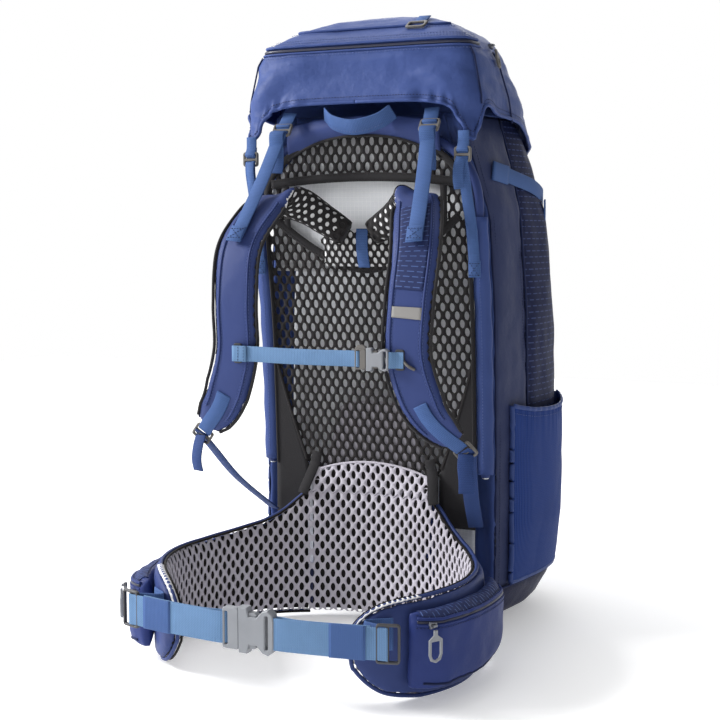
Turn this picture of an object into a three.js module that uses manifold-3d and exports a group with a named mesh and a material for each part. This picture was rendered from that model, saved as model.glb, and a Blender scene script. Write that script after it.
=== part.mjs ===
// A trekking backpack, standing on its base with the harness towards -Y. Millimetres, +Z up.
// Inside the `pack` group y = 0 is the plane of the back mesh's top edge; the group then puts
// the middle of the flat base on the origin. "left" is the wearer's left, which is +X.
import * as THREE from "three";
import { mergeVertices } from "three/addons/utils/BufferGeometryUtils.js";
import Module from "manifold-3d";

const wasm = await Module();
wasm.setup();

// ---------------------------------------------------------------- driving dimensions
const GAP = 0.4; // between pieces that touch
const BAG_HALF_WIDTH = 200; // bag alone, at its widest
const BAG_FRONT = 342; // furthest point of the bag from the back plane
const BAG_TOP = 700; // top seam of the main compartment
const BASE_TOP = 60; // seam between the base tray and the walls
const BASE_MIDDLE = 195; // middle of the flat base, from the back plane
const FABRIC = 2.4; // lined, seamed wall
const COLLAR_HEIGHT = 40;

const FRAME_HALF_WIDTH = 162;
const FRAME_FOOT = 214;
const FRAME_CROWN = BAG_TOP - 14; // highest point of the hoop
const FRAME_SHOULDER = BAG_TOP - 130; // where the uprights bend into the arc
const FRAME_ROD = 4.5; // radius
const SLEEVE_HALF_WIDTH = 12;
const SLEEVE_HALF_DEPTH = 9;
const MESH_THICKNESS = 3;
const MESH_HALF_WIDTH = FRAME_HALF_WIDTH - SLEEVE_HALF_WIDTH - 1;

const LID_TOP = BAG_TOP + 137;
const LID_WALL = 4;
const LID_HINGE_Y = -16;
const LID_HINGE_Z = BAG_TOP - 35;

const STRAP_APEX = BAG_TOP - 106; // where the shoulder straps arch over
const STRAP_FOOT = 286;
const STRAP_WIDTH = 68;
const STRAP_THICKNESS = 14;
const YOKE_THICKNESS = 9;
const ANCHOR_X = 154; // where the lower webbings are sewn to the bag's back

const BELT_CENTRE_Y = -130; // the belt runs round a vertical axis here
const BELT_HALF_WIDTH = 207;
const BELT_BACK = 186; // from the belt's axis to the lumbar pad
const BELT_FRONT = 180; // from the belt's axis to the front, if the pads met
const BELT_THICKNESS = 16;
const POCKET_RADIUS = 240; // outer face of a hip pocket, from the belt's axis
const POCKET_ZIP_Z = 100;

const WIDE_WEBBING = 38;
const STRAP_WEBBING = 20;
const LID_WEBBING = 15;
const WEBBING_THICKNESS = 1.6;

const HIP_LINE_Z = 85; // middle of the hip webbing
const HIP_LINE_Y = -312;
const STERNUM_Z = 388;
const STERNUM_Y = -133;

// ---------------------------------------------------------------- colours
const look = (color, roughness, metalness = 0) =>
  new THREE.MeshStandardMaterial({ color, roughness, metalness });
const NYLON = () => look(0x3f5596, 0.62);
const NAVY = () => look(0x2d3468, 0.7);
const STRETCH = () => look(0x2b4f9c, 0.75);
const LIGHT_WEBBING = () => look(0x6695cc, 0.7);
const DARK_WEBBING = () => look(0x2f5590, 0.75);
const CHARCOAL_MESH = () => look(0x2c2a2b, 0.85);
const GREY_MESH = () => look(0xa29ea3, 0.85);
const PALE_PLASTIC = () => look(0xa6abae, 0.45);
const TAUPE_PLASTIC = () => look(0x77736d, 0.5);
const DARK_PLASTIC = () => look(0x4b4b50, 0.5);
const ALLOY = () => look(0xb9bcc0, 0.35, 0.9);

// ---------------------------------------------------------------- geometry helpers
const vec = (x, y, z) => new THREE.Vector3(x, y, z);
const lerp = THREE.MathUtils.lerp;
const radians = THREE.MathUtils.degToRad;
const range = (n) => Array.from({ length: n }, (_, i) => i);
const steps = (n, from = 0, to = 1) => range(n + 1).map((i) => lerp(from, to, i / n));

/** Piecewise linear lookup in a list of [key, value] pairs with rising keys. */
function along(table, key) {
  if (key <= table[0][0]) return table[0][1];
  for (let i = 1; i < table.length; i++) {
    const [k0, v0] = table[i - 1];
    const [k1, v1] = table[i];
    if (key <= k1) return lerp(v0, v1, (key - k0) / (k1 - k0));
  }
  return table[table.length - 1][1];
}

/** Six times the signed volume that a triangle list encloses. */
function windingVolume(points, faces) {
  return faces.reduce(
    (sum, [a, b, c]) => sum + points[a].dot(points[b].clone().cross(points[c])),
    0,
  );
}

/** A BufferGeometry from points and triangles, turned to face outwards. */
function closedGeometry(points, faces) {
  const outward = windingVolume(points, faces) > 0;
  const order = outward ? faces : faces.map(([a, b, c]) => [a, c, b]);
  const geometry = new THREE.BufferGeometry().setFromPoints(points);
  geometry.setIndex(order.flat());
  geometry.computeVertexNormals();
  return geometry;
}

/** Joins rings of equal length. Open ends are capped from their middle; a looped loft has none. */
function loft(rings, looped = false) {
  const n = rings[0].length;
  const points = rings.flat();
  const faces = [];
  const last = looped ? rings.length : rings.length - 1;
  for (let r = 0; r < last; r++) {
    const here = r * n;
    const next = ((r + 1) % rings.length) * n;
    for (const i of range(n)) {
      const j = (i + 1) % n;
      faces.push([here + i, here + j, next + j], [here + i, next + j, next + i]);
    }
  }
  if (!looped) {
    for (const [ring, flip] of [[0, true], [rings.length - 1, false]]) {
      const middle = rings[ring].reduce((s, p) => s.add(p), vec(0, 0, 0)).divideScalar(n);
      const centre = points.push(middle) - 1;
      for (const i of range(n)) {
        const a = ring * n + i;
        const b = ring * n + ((i + 1) % n);
        faces.push(flip ? [centre, b, a] : [centre, a, b]);
      }
    }
  }
  return closedGeometry(points, faces);
}

/** A sheet with thickness: two grids of points, row by row, joined round their borders. */
function slab(outer, inner) {
  const rows = outer.length;
  const cols = outer[0].length;
  const points = [...outer.flat(), ...inner.flat()];
  const far = rows * cols;
  const faces = [];
  const quad = (a, b, c, d) => faces.push([a, b, c], [a, c, d]);
  for (const r of range(rows - 1)) {
    for (const c of range(cols - 1)) {
      const a = r * cols + c;
      quad(a, a + 1, a + cols + 1, a + cols);
      quad(far + a, far + a + cols, far + a + cols + 1, far + a + 1);
    }
  }
  const border = [
    ...range(cols).map((c) => c),
    ...range(rows - 1).map((r) => (r + 2) * cols - 1),
    ...range(cols - 1).map((c) => rows * cols - 2 - c),
    ...range(rows - 2).map((r) => (rows - 2 - r) * cols),
  ];
  border.forEach((a, i) => {
    const b = border[(i + 1) % border.length];
    quad(b, a, far + a, far + b);
  });
  return closedGeometry(points, faces);
}

/** Cross-section rings of a band along a path. `side` is the direction of its width. */
function bandRings(path, side, width, thickness, edge = 0) {
  const curve = new THREE.CatmullRomCurve3(path.points, false, "centripetal");
  return steps(path.steps).map((t) => {
    const middle = curve.getPointAt(t);
    const forward = curve.getTangentAt(t);
    const across = side(t).clone().addScaledVector(forward, -side(t).dot(forward)).normalize();
    const up = forward.clone().cross(across);
    const w = width(t) / 2;
    const h = thickness(t) / 2;
    const corner = (a, b) => middle.clone().addScaledVector(across, a).addScaledVector(up, b);
    if (!edge) return [corner(-w, -h), corner(w, -h), corner(w, h), corner(-w, h)];
    return [
      corner(-w, -h + edge), corner(-w + edge, -h), corner(w - edge, -h), corner(w, -h + edge),
      corner(w, h - edge), corner(w - edge, h), corner(-w + edge, h), corner(-w, h - edge),
    ];
  });
}

const webbing = (points, side, width, count = 6) =>
  loft(bandRings({ points, steps: count }, () => side, () => width, () => WEBBING_THICKNESS));

/** A flat outline given thickness along z, centred on z = 0, with eased edges. */
function plate(shape, thickness, ease = 0.6, arcs = 2) {
  const geometry = new THREE.ExtrudeGeometry(shape, {
    depth: thickness - 2 * ease,
    bevelEnabled: ease > 0,
    bevelThickness: ease,
    bevelSize: ease,
    bevelOffset: -ease,
    bevelSegments: 1,
    curveSegments: arcs,
  });
  return geometry.translate(0, 0, -thickness / 2 + ease);
}

/** A rectangle with rounded corners, as a THREE.Shape or a THREE.Path for a hole. */
function roundedRect(Kind, x0, y0, x1, y1, r) {
  const s = new Kind();
  s.moveTo(x0 + r, y0);
  s.lineTo(x1 - r, y0);
  s.absarc(x1 - r, y0 + r, r, -Math.PI / 2, 0);
  s.lineTo(x1, y1 - r);
  s.absarc(x1 - r, y1 - r, r, 0, Math.PI / 2);
  s.lineTo(x0 + r, y1);
  s.absarc(x0 + r, y1 - r, r, Math.PI / 2, Math.PI);
  s.lineTo(x0, y0 + r);
  s.absarc(x0 + r, y0 + r, r, Math.PI, 1.5 * Math.PI);
  return s;
}

function solid(geometry) {
  const bare = geometry.index ? geometry.toNonIndexed() : geometry.clone();
  bare.deleteAttribute("normal");
  bare.deleteAttribute("uv");
  const merged = mergeVertices(bare, 1e-3);
  return new wasm.Manifold(
    new wasm.Mesh({
      numProp: 3,
      vertProperties: new Float32Array(merged.attributes.position.array),
      triVerts: new Uint32Array(merged.index.array),
    }),
  );
}

function geometryOf(manifold) {
  const mesh = manifold.getMesh();
  const geometry = new THREE.BufferGeometry();
  geometry.setAttribute("position", new THREE.BufferAttribute(mesh.vertProperties, 3));
  geometry.setIndex(new THREE.BufferAttribute(mesh.triVerts, 1));
  geometry.computeVertexNormals();
  return geometry;
}

const joined = (...parts) => geometryOf(parts.map(solid).reduce((a, b) => a.add(b)));
const cut = (body, ...tools) =>
  geometryOf(tools.map(solid).reduce((a, b) => a.subtract(b), solid(body)));
const block = (x0, y0, z0, x1, y1, z1) =>
  new THREE.BoxGeometry(x1 - x0, y1 - y0, z1 - z0).translate(
    (x0 + x1) / 2, (y0 + y1) / 2, (z0 + z1) / 2,
  );

// ---------------------------------------------------------------- the scene graph
const pack = new THREE.Group();
pack.position.y = -BASE_MIDDLE;

function add(name, geometry, material, parent = pack) {
  const mesh = new THREE.Mesh(geometry, material);
  mesh.name = name;
  parent.add(mesh);
  return mesh;
}
const SIDES = [["left", 1], ["right", -1]];

/** A group placed at a point, its x, y and z axes given as directions. */
function placed(origin, x, y) {
  const group = new THREE.Group();
  const xAxis = x.clone().normalize();
  const zAxis = xAxis.clone().cross(y).normalize();
  group.matrix.makeBasis(xAxis, zAxis.clone().cross(xAxis), zAxis).setPosition(origin);
  group.matrix.decompose(group.position, group.quaternion, group.scale);
  pack.add(group);
  return group;
}

// ---------------------------------------------------------------- bag
const wallHeight = BAG_TOP - BASE_TOP;
/** Height share of the walls, 0 at the base seam and 1 at the top seam; below 0 in the tray. */
const share = (z) => (z < BASE_TOP ? (z - BASE_TOP) / BASE_TOP : (z - BASE_TOP) / wallHeight);
const WIDTH_PROFILE = [[-1, 0.74], [-0.7, 0.9], [-0.2, 0.98], [0.05, 1], [0.3, 1], [0.6, 0.98],
  [0.8, 0.93], [0.9, 0.86], [0.95, 0.815], [1, 0.775]];
const FRONT_PROFILE = [[-1, 0.84], [-0.7, 0.92], [-0.2, 0.98], [0.2, 1], [0.5, 0.99], [0.7, 0.95],
  [0.83, 0.89], [0.92, 0.81], [1, 0.71]];
const REAR_PROFILE = [[-1, 22], [-0.5, 8], [0, 0], [0.78, 0], [0.9, -28], [1, -46]];
const SECTION = [[0, 88], [0.45, 85], [0.75, 70], [0.865, 62], [0.95, 120], [1, 200],
  [0.96, 262], [0.8, 315], [0.45, 336], [0, 342]];
const SECTION_FRONT = 342;
const SECTION_FLARE = 110; // forward of this the section scales with the bag's depth

/** The bag's outline at height z as a closed curve with one control point per section entry. */
function bagCurve(z) {
  const s = share(z);
  const half = BAG_HALF_WIDTH * along(WIDTH_PROFILE, s);
  const front = BAG_FRONT * along(FRONT_PROFILE, s);
  const rear = along(REAR_PROFILE, s);
  const stretch = (front - SECTION_FLARE) / (SECTION_FRONT - SECTION_FLARE);
  const right = SECTION.map(([x, y]) => {
    const ahead = SECTION_FLARE + (y - SECTION_FLARE) * stretch;
    return vec(x * half, y > SECTION_FLARE ? ahead : y + rear, z);
  });
  const left = right.slice(1, -1).reverse().map((p) => vec(-p.x, p.y, p.z));
  return new THREE.CatmullRomCurve3([...right, ...left], true, "catmullrom", 0.4);
}
const SECTION_COUNT = 2 * SECTION.length - 2;

/** A point of the bag's outline: k counts control points from the back's middle, out is outwards. */
function bagPoint(k, z, out = 0) {
  const u = (((k / SECTION_COUNT) % 1) + 1) % 1;
  const curve = bagCurve(z);
  const tangent = curve.getTangent(u);
  return curve.getPoint(u).add(vec(tangent.y, -tangent.x, 0).normalize().multiplyScalar(out));
}

function wall(name, from, to, columns, material, low = BASE_TOP + GAP, high = BAG_TOP) {
  const rows = [0, 0.12, 0.3, 0.5, 0.65, 0.78, 0.9, 1].map((t) => lerp(low, high, t));
  const grid = (out) => rows.map((z) => steps(columns, from, to).map((k) => bagPoint(k, z, out)));
  add(name, slab(grid(0), grid(-FABRIC)), material);
}

function buildBag() {
  const seam = 0.012; // in section steps, keeps neighbouring walls apart at their seams
  wall("back_panel", -3 + seam, 3 - seam, 8, NAVY());
  wall("side_panel_left", 3 + seam, 6.5 - seam, 5, NAVY());
  wall("side_panel_right", -6.5 + seam, -3 - seam, 5, NAVY());
  wall("front_panel", 6.5 + seam, 11.5 - seam, 8, NYLON());

  const around = (z, out) => range(24).map((i) => bagPoint((i * SECTION_COUNT) / 24, z, out));
  const TRAY = [BASE_TOP, 30, 10, 0];
  const tray = [
    ...TRAY.slice().reverse().map((z) => around(Math.max(z, 0), -FABRIC)),
    ...TRAY.map((z) => around(z, 0)),
  ];
  tray[0] = tray[0].map((p) => vec(p.x, p.y, FABRIC));
  add("base_tray", loft(tray), NAVY());

  const throat = (z, out, pinch) =>
    around(BAG_TOP, out).map((p) => vec(p.x * pinch, 145 + (p.y - 145) * pinch, z));
  const low = BAG_TOP + GAP;
  const mid = BAG_TOP + COLLAR_HEIGHT * 0.5;
  const high = BAG_TOP + COLLAR_HEIGHT;
  add("collar", loft([
    throat(low, -1, 1), throat(mid, -1, 0.9), throat(high, -1, 0.72),
    throat(high, -1 - FABRIC, 0.72), throat(mid, -1 - FABRIC, 0.9), throat(low, -1 - FABRIC, 1),
  ], true), NYLON());
}

// ---------------------------------------------------------------- stretch pockets
const SIDE_POCKET = { low: 66, high: 310, from: 3.55, to: 6.3, bulge: 10 };
const FRONT_POCKET = { low: 110, high: 430, from: 7.1, to: 10.9, bulge: 16 };

/** A stretch skin on the outside of the bag, held at its sides and foot and open at the top. */
function pocket(name, { low, high, from, to, bulge }, sign) {
  const rows = steps(5);
  const cols = steps(8);
  const grid = (extra) => rows.map((v) => cols.map((u) => {
    const lift = 3 * GAP + bulge * Math.sin(Math.PI * u) ** 0.6 * Math.min(1, 2.2 * v);
    return bagPoint(sign * lerp(from, to, u), lerp(low, high, v), lift + extra);
  }));
  add(name, slab(grid(FABRIC), grid(0)), STRETCH());
}

// ---------------------------------------------------------------- frame and mesh
const MESH_Y = [[FRAME_FOOT, 46], [300, 42], [400, 36], [BAG_TOP - 248, 30], [BAG_TOP - 188, 20],
  [BAG_TOP - 144, 14], [BAG_TOP - 100, 11], [BAG_TOP - 23, 9]];
const frameY = (z) => along(MESH_Y, z) + 6;

/** Half of the frame's outline as a width at a height. */
function frameHalfWidth(z) {
  if (z <= FRAME_SHOULDER) return FRAME_HALF_WIDTH;
  const s = (z - FRAME_SHOULDER) / (FRAME_CROWN - FRAME_SHOULDER);
  return FRAME_HALF_WIDTH * Math.sqrt(Math.max(0, 1 - s ** 2.6));
}

function buildFrame() {
  const upright = steps(8, FRAME_FOOT, FRAME_SHOULDER).map((z) => vec(FRAME_HALF_WIDTH, frameY(z), z));
  const arc = steps(5, 0.25, 1).slice(0, -1).map((s) => {
    const z = lerp(FRAME_SHOULDER, FRAME_CROWN, 1 - (1 - s) ** 1.6);
    return vec(frameHalfWidth(z), frameY(z), z);
  });
  const half = [...upright, ...arc];
  const crown = vec(0, frameY(FRAME_CROWN), FRAME_CROWN);
  const mirrored = half.slice().reverse().map((p) => vec(-p.x, p.y, p.z));
  const route = new THREE.CatmullRomCurve3([...half, crown, ...mirrored], false, "centripetal");
  const section = new THREE.Shape(range(8).map((i) => {
    const a = (i * Math.PI) / 4;
    return new THREE.Vector2(FRAME_ROD * Math.cos(a), FRAME_ROD * Math.sin(a));
  }));
  const rod = new THREE.ExtrudeGeometry(section, { steps: 44, extrudePath: route });
  add("frame_hoop", rod, ALLOY());

  for (const [side, sign] of SIDES) {
    const ring = (z, a, b) => range(12).map((i) => {
      const angle = (i * Math.PI) / 6;
      return vec(
        sign * (FRAME_HALF_WIDTH + a * Math.cos(angle)), frameY(z) + b * Math.sin(angle), z,
      );
    });
    const heights = steps(8, FRAME_FOOT + 6, FRAME_SHOULDER - 6);
    const bore = FRAME_ROD + 1.4;
    add("frame_sleeve_" + side, loft([
      ...heights.map((z) => ring(z, SLEEVE_HALF_WIDTH, SLEEVE_HALF_DEPTH)),
      ...heights.slice().reverse().map((z) => ring(z, bore, bore)),
    ], true), NYLON());
  }

  const MESH_TOP = FRAME_CROWN - FRAME_ROD - 3;
  const rows = [...steps(5, FRAME_FOOT, FRAME_SHOULDER - 10), ...steps(5, FRAME_SHOULDER + 10, MESH_TOP)];
  const grid = (depth) => rows.map((z) => {
    const half = Math.min(MESH_HALF_WIDTH, Math.max(30, frameHalfWidth(z + 8) - FRAME_ROD - 6));
    return steps(6, -half, half).map((x) => vec(x, along(MESH_Y, z) + depth, z));
  });
  add("back_mesh", slab(grid(-MESH_THICKNESS / 2), grid(MESH_THICKNESS / 2)), CHARCOAL_MESH());
}

// ---------------------------------------------------------------- harness
const meshFace = (z) => along(MESH_Y, z) - MESH_THICKNESS / 2;
const YOKE_TOP = STRAP_APEX - 46;
const YOKE_FOOT = STRAP_APEX - 96;
const YOKE_HALF_WIDTH = 62;

/** Middle line of a shoulder strap, from the yoke over the shoulder to its foot. */
function strapLine(sign) {
  const height = (f) => lerp(STRAP_FOOT, STRAP_APEX, f);
  return [
    vec(sign * 18, meshFace(YOKE_TOP) - YOKE_THICKNESS - 8, STRAP_APEX - 52),
    vec(sign * 48, meshFace(YOKE_TOP) - YOKE_THICKNESS - 12, STRAP_APEX - 34),
    vec(sign * 78, -20, STRAP_APEX - 14),
    vec(sign * 101, -46, STRAP_APEX - 8),
    vec(sign * 116, -80, height(0.88)),
    vec(sign * 125, -106, height(0.75)),
    vec(sign * 123, -119, height(0.54)),
    vec(sign * 122, -120, height(0.33)),
    vec(sign * 143, -114, height(0.13)),
    vec(sign * 178, -101, height(0)),
  ];
}

function ladderLock(width, height = 22, thickness = 4) {
  const half = width / 2 + 4;
  const outline = roundedRect(THREE.Shape, -half, -height / 2, half, height / 2, 3.5);
  const slot = width / 2 + 0.8;
  outline.holes.push(roundedRect(THREE.Path, -slot, 1.2, slot, height / 2 - 3, 1));
  outline.holes.push(roundedRect(THREE.Path, -slot, 3 - height / 2, slot, -2.4, 1));
  return plate(outline, thickness, 0.8, 1);
}

function buildHarness() {
  const yokeRows = steps(3, YOKE_FOOT, YOKE_TOP);
  const grid = (off) => yokeRows.map((z) => {
    const half = YOKE_HALF_WIDTH - 8 * ((YOKE_TOP - z) / (YOKE_TOP - YOKE_FOOT));
    return steps(4, -half, half).map((x) => vec(x, meshFace(z) - off, z));
  });
  add("yoke", slab(grid(GAP + YOKE_THICKNESS), grid(GAP)), CHARCOAL_MESH());

  for (const [name, sign] of SIDES) {
    const line = strapLine(sign);
    const width = (t) => along([[0, 34], [0.12, 40], [0.3, STRAP_WIDTH], [0.85, STRAP_WIDTH - 2],
      [0.95, 52], [1, 34]], t);
    const thickness = (t) => along([[0, 9], [0.1, STRAP_THICKNESS], [0.95, STRAP_THICKNESS], [1, 9]], t);
    const turn = (t) => Math.min(1, t / 0.26); // its width stands upright at the yoke, then lies along x
    const side = (t) => vec(sign * Math.sin(turn(t) * Math.PI / 2), 0, -Math.cos(turn(t) * Math.PI / 2));
    const rings = bandRings({ points: line, steps: 24 }, side, width, thickness, 3);
    add("shoulder_strap_" + name, loft(rings), NYLON());

    const foot = line[line.length - 1];
    const down = foot.clone().sub(line[line.length - 2]).normalize();
    const lockAt = foot.clone().addScaledVector(down, 17);
    const across = vec(sign, 0, 0).addScaledVector(down, -sign * down.x).normalize();
    const lock = placed(lockAt, across, down.clone().negate());
    add("strap_lock_" + name, ladderLock(STRAP_WEBBING), TAUPE_PLASTIC(), lock);

    const top = lockAt.clone().addScaledVector(down, 20);
    const anchor = vec(sign * ANCHOR_X, 38, 150);
    add("lower_webbing_" + name, webbing([
      top, top.clone().lerp(anchor, 0.5), anchor,
    ], vec(sign, 0.35, 0), STRAP_WEBBING, 4), DARK_WEBBING());

    const lifterTop = vec(sign * 107, -19, BAG_TOP - 19);
    const lifterFoot = vec(sign * 128, -119, BAG_TOP - 172);
    const fall = lifterFoot.clone().sub(lifterTop).normalize();
    const lifter = placed(lifterTop, vec(1, 0, 0), fall.clone().negate());
    add("lifter_lock_" + name, ladderLock(STRAP_WEBBING, 20), TAUPE_PLASTIC(), lifter);
    add("load_lifter_" + name, webbing([
      lifterTop.clone().addScaledVector(fall, 12),
      lifterTop.clone().lerp(lifterFoot, 0.5),
      lifterFoot.clone().addScaledVector(fall, -6),
    ], vec(1, 0, 0), STRAP_WEBBING, 4), LIGHT_WEBBING());
  }
}

// ---------------------------------------------------------------- side-release buckles
/** Sizes of a side-release buckle for one webbing. x is the way the prongs go in. */
function buckleSizes(width) {
  const halfHeight = width * 0.72;
  return {
    width, halfHeight, thickness: 4 + width * 0.24, wall: 1.6,
    length: width * 0.9 + 12, maleLength: width * 0.35 + 9, prong: (width * 0.9 + 12) * 0.52,
  };
}

function buckleFemale({ width, halfHeight: h, thickness, wall: w, length: l, prong }) {
  const outline = new THREE.Shape();
  const half = [[0, h], [0.24 * l, h], [0.3 * l, 0.62 * h], [0.52 * l, 0.62 * h], [0.68 * l, 0.9 * h],
    [0.84 * l, 0.98 * h], [0.97 * l, 0.8 * h], [l, 0.55 * h]];
  half.forEach(([x, y], i) => (i ? outline.lineTo(x, y) : outline.moveTo(x, y)));
  half.slice().reverse().forEach(([x, y]) => outline.lineTo(x, -y));
  const slot = Math.min(width / 2 + 0.8, 0.74 * h);
  outline.holes.push(roundedRect(THREE.Path, 0.76 * l, -slot, 0.76 * l + 4, slot, 1.2));
  const body = plate(outline, thickness, 1.2);
  const mouth = block(-1, -0.8 * h, -thickness / 2 + w, prong + 1.5, 0.8 * h, thickness / 2 - w);
  return cut(body, mouth);
}

function buckleMale({ width, halfHeight: h, thickness, wall: w, maleLength, prong }) {
  const base = roundedRect(THREE.Shape, -maleLength, -0.9 * h, -GAP, 0.9 * h, 3);
  const slot = width / 2 + 0.8;
  base.holes.push(roundedRect(THREE.Path, 3 - maleLength, -slot, 7 - maleLength, slot, 1.2));
  const tongue = thickness - 2 * w - 1;
  const parts = [1, -1].map((s) => {
    const arm = new THREE.Shape();
    const outer = 0.8 * h - 0.6;
    arm.moveTo(-2, s * (0.5 * h));
    arm.lineTo(-2, s * (0.5 * h + 4));
    arm.lineTo(0.3 * prong, s * (0.5 * h + 3.4));
    arm.lineTo(0.5 * prong, s * outer);
    arm.lineTo(0.86 * prong, s * outer);
    arm.lineTo(prong, s * (outer - 2.5));
    arm.lineTo(0.5 * prong, s * (0.5 * h - 1));
    return plate(arm, tongue, 0);
  });
  const guide = block(-2, -0.12 * h, -tongue / 2, 0.8 * prong, 0.12 * h, tongue / 2);
  return joined(plate(base, thickness * 0.8, 1), guide, ...parts);
}

// ---------------------------------------------------------------- sternum strap
function buildSternumStrap() {
  const sizes = buckleSizes(STRAP_WEBBING);
  const matingX = 73;
  const frame = placed(vec(matingX, STERNUM_Y - 3, STERNUM_Z), vec(1, 0, 0), vec(0, 0, 1));
  add("sternum_buckle_female", buckleFemale(sizes), PALE_PLASTIC(), frame);
  add("sternum_buckle_male", buckleMale(sizes), TAUPE_PLASTIC(), frame);
  const clipX = 113;
  add("sternum_webbing", webbing([
    vec(-clipX - 5, STERNUM_Y, STERNUM_Z), vec(-30, STERNUM_Y - 1, STERNUM_Z),
    vec(matingX - sizes.maleLength - 2, STERNUM_Y - 2, STERNUM_Z),
  ], vec(0, 0, 1), STRAP_WEBBING, 4), LIGHT_WEBBING());
  for (const [side, sign] of SIDES) {
    const clip = roundedRect(THREE.Shape, -6, -13, 6, 13, 3);
    const at = placed(vec(sign * (clipX + 1.5), STERNUM_Y + 3.4, STERNUM_Z), vec(1, 0, 0), vec(0, 0, 1));
    add("sternum_clip_" + side, plate(clip, 3.6, 0.8), DARK_PLASTIC(), at);
  }
}

// ---------------------------------------------------------------- hip belt
/** A point of the belt: angle in degrees from the lumbar middle, out from its middle surface. */
function beltPoint(angle, out, z, sign = 1) {
  const a = radians(angle);
  const depth = angle < 90 ? BELT_BACK : BELT_FRONT;
  return vec(
    sign * (BELT_HALF_WIDTH + out) * Math.sin(a), BELT_CENTRE_Y + (depth + out) * Math.cos(a), z,
  );
}
const WING_TOP = [[27, 198], [42, 158], [60, 134], [75, 127], [110, 124], [128, 121], [146, 110]];
const WING_FOOT = [[27, 6], [60, 5], [90, 0.4], [118, 0.4], [132, 8], [146, 28]];
const POCKET_FOOT = [[72, 34], [95, 21], [124, 17]];
const LUMBAR_ANGLE = 27;
const WING_END = 146;
const POCKET_FROM = 72;
const POCKET_TO = 124;
const TRI_GLIDE_X = 172;

/** A zip slider's body, its tab pointing along -x, resting on z = 0. */
function zipSlider() {
  const body = new THREE.Shape();
  body.moveTo(-5, -2.5);
  body.lineTo(4, -4);
  body.quadraticCurveTo(6, 0, 4, 4);
  body.lineTo(-5, 2.5);
  const bridge = block(-3, -1.2, 1.5, 3, 1.2, 5);
  return joined(plate(body, 4, 0.6), bridge);
}

/** A U-shaped pull with a cord's width at its neck, hanging along -y from its pivot. */
function zipPull(length = 38, width = 19) {
  const outline = new THREE.Shape();
  outline.moveTo(-2.5, 0);
  outline.lineTo(-2.5, -6);
  outline.lineTo(-width / 2, -11);
  outline.lineTo(-width / 2, -length + width / 2);
  outline.absarc(0, -length + width / 2, width / 2, Math.PI, 2 * Math.PI);
  outline.lineTo(width / 2, -11);
  outline.lineTo(2.5, -6);
  outline.lineTo(2.5, 0);
  const inner = width / 2 - 3.2;
  const hole = new THREE.Path();
  hole.moveTo(-inner, -13);
  hole.lineTo(-inner, -length + width / 2);
  hole.absarc(0, -length + width / 2, inner, Math.PI, 2 * Math.PI);
  hole.lineTo(inner, -13);
  outline.holes.push(hole);
  return plate(outline, 3, 0.6);
}

function buildHipBelt() {
  const arc = (from, to, n, points) => steps(n, from, to).map(points);
  const padRing = (angle, low, high, sign) => {
    const t = BELT_THICKNESS / 2;
    const e = 5;
    return [[-t, low + e], [-t + e, low], [t - e, low], [t, low + e],
      [t, high - e], [t - e, high], [-t + e, high], [-t, high - e]]
      .map(([out, z]) => beltPoint(angle, out, z, sign));
  };
  const lumbar = arc(-LUMBAR_ANGLE + 0.1, LUMBAR_ANGLE - 0.1, 8, (angle) =>
    padRing(Math.abs(angle), 6, 198, Math.sign(angle) || 1));
  add("lumbar_pad", loft(lumbar), GREY_MESH());

  for (const [side, sign] of SIDES) {
    add("hip_wing_" + side, loft(arc(LUMBAR_ANGLE + 0.1, WING_END, 14, (angle) =>
      padRing(angle, along(WING_FOOT, angle), along(WING_TOP, angle), sign))), GREY_MESH());

    const onCircle = (angle, radius, z) => vec(
      sign * radius * Math.sin(radians(angle)),
      BELT_CENTRE_Y + radius * Math.cos(radians(angle)), z,
    );
    add("hip_pocket_" + side, loft(arc(POCKET_FROM, POCKET_TO, 10, (angle) => {
      const end = Math.min(angle - POCKET_FROM, POCKET_TO - angle) / 8;
      const swell = Math.min(1, Math.sqrt(Math.max(0.06, end)));
      const back = BELT_THICKNESS / 2 + GAP;
      const inner = beltPoint(angle, back, 0, sign);
      const innerRadius = Math.hypot(inner.x, inner.y - BELT_CENTRE_Y);
      const outer = lerp(innerRadius + 3, POCKET_RADIUS, swell);
      const top = along(WING_TOP, angle) - 9;
      const foot = along(POCKET_FOOT, angle);
      return [
        onCircle(angle, innerRadius, foot + 4), onCircle(angle, outer - 6, foot),
        onCircle(angle, outer - 1, foot + 10), onCircle(angle, outer, 60),
        onCircle(angle, outer, POCKET_ZIP_Z - 3), onCircle(angle, outer - 3, POCKET_ZIP_Z + 2),
        onCircle(angle, innerRadius + 2, top), onCircle(angle, innerRadius, top),
      ];
    })), NYLON());

    const zipAngle = POCKET_TO - 3.5;
    const radial = vec(sign * Math.sin(radians(zipAngle)), Math.cos(radians(zipAngle)), 0);
    const runs = vec(sign * Math.cos(radians(zipAngle)), -Math.sin(radians(zipAngle)), 0);
    const seat = onCircle(zipAngle, POCKET_RADIUS + 3, POCKET_ZIP_Z);
    const slider = placed(seat, runs, radial.clone().cross(runs));
    add("hip_zip_slider_" + side, zipSlider(), DARK_PLASTIC(), slider);
    const pullAt = seat.clone().addScaledVector(radial, 5.2).add(vec(0, 0, -4.5));
    const pull = placed(pullAt, runs.clone().multiplyScalar(sign), vec(0, 0, 1));
    add("hip_zip_pull_" + side, zipPull(), PALE_PLASTIC(), pull);
  }
}

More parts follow.
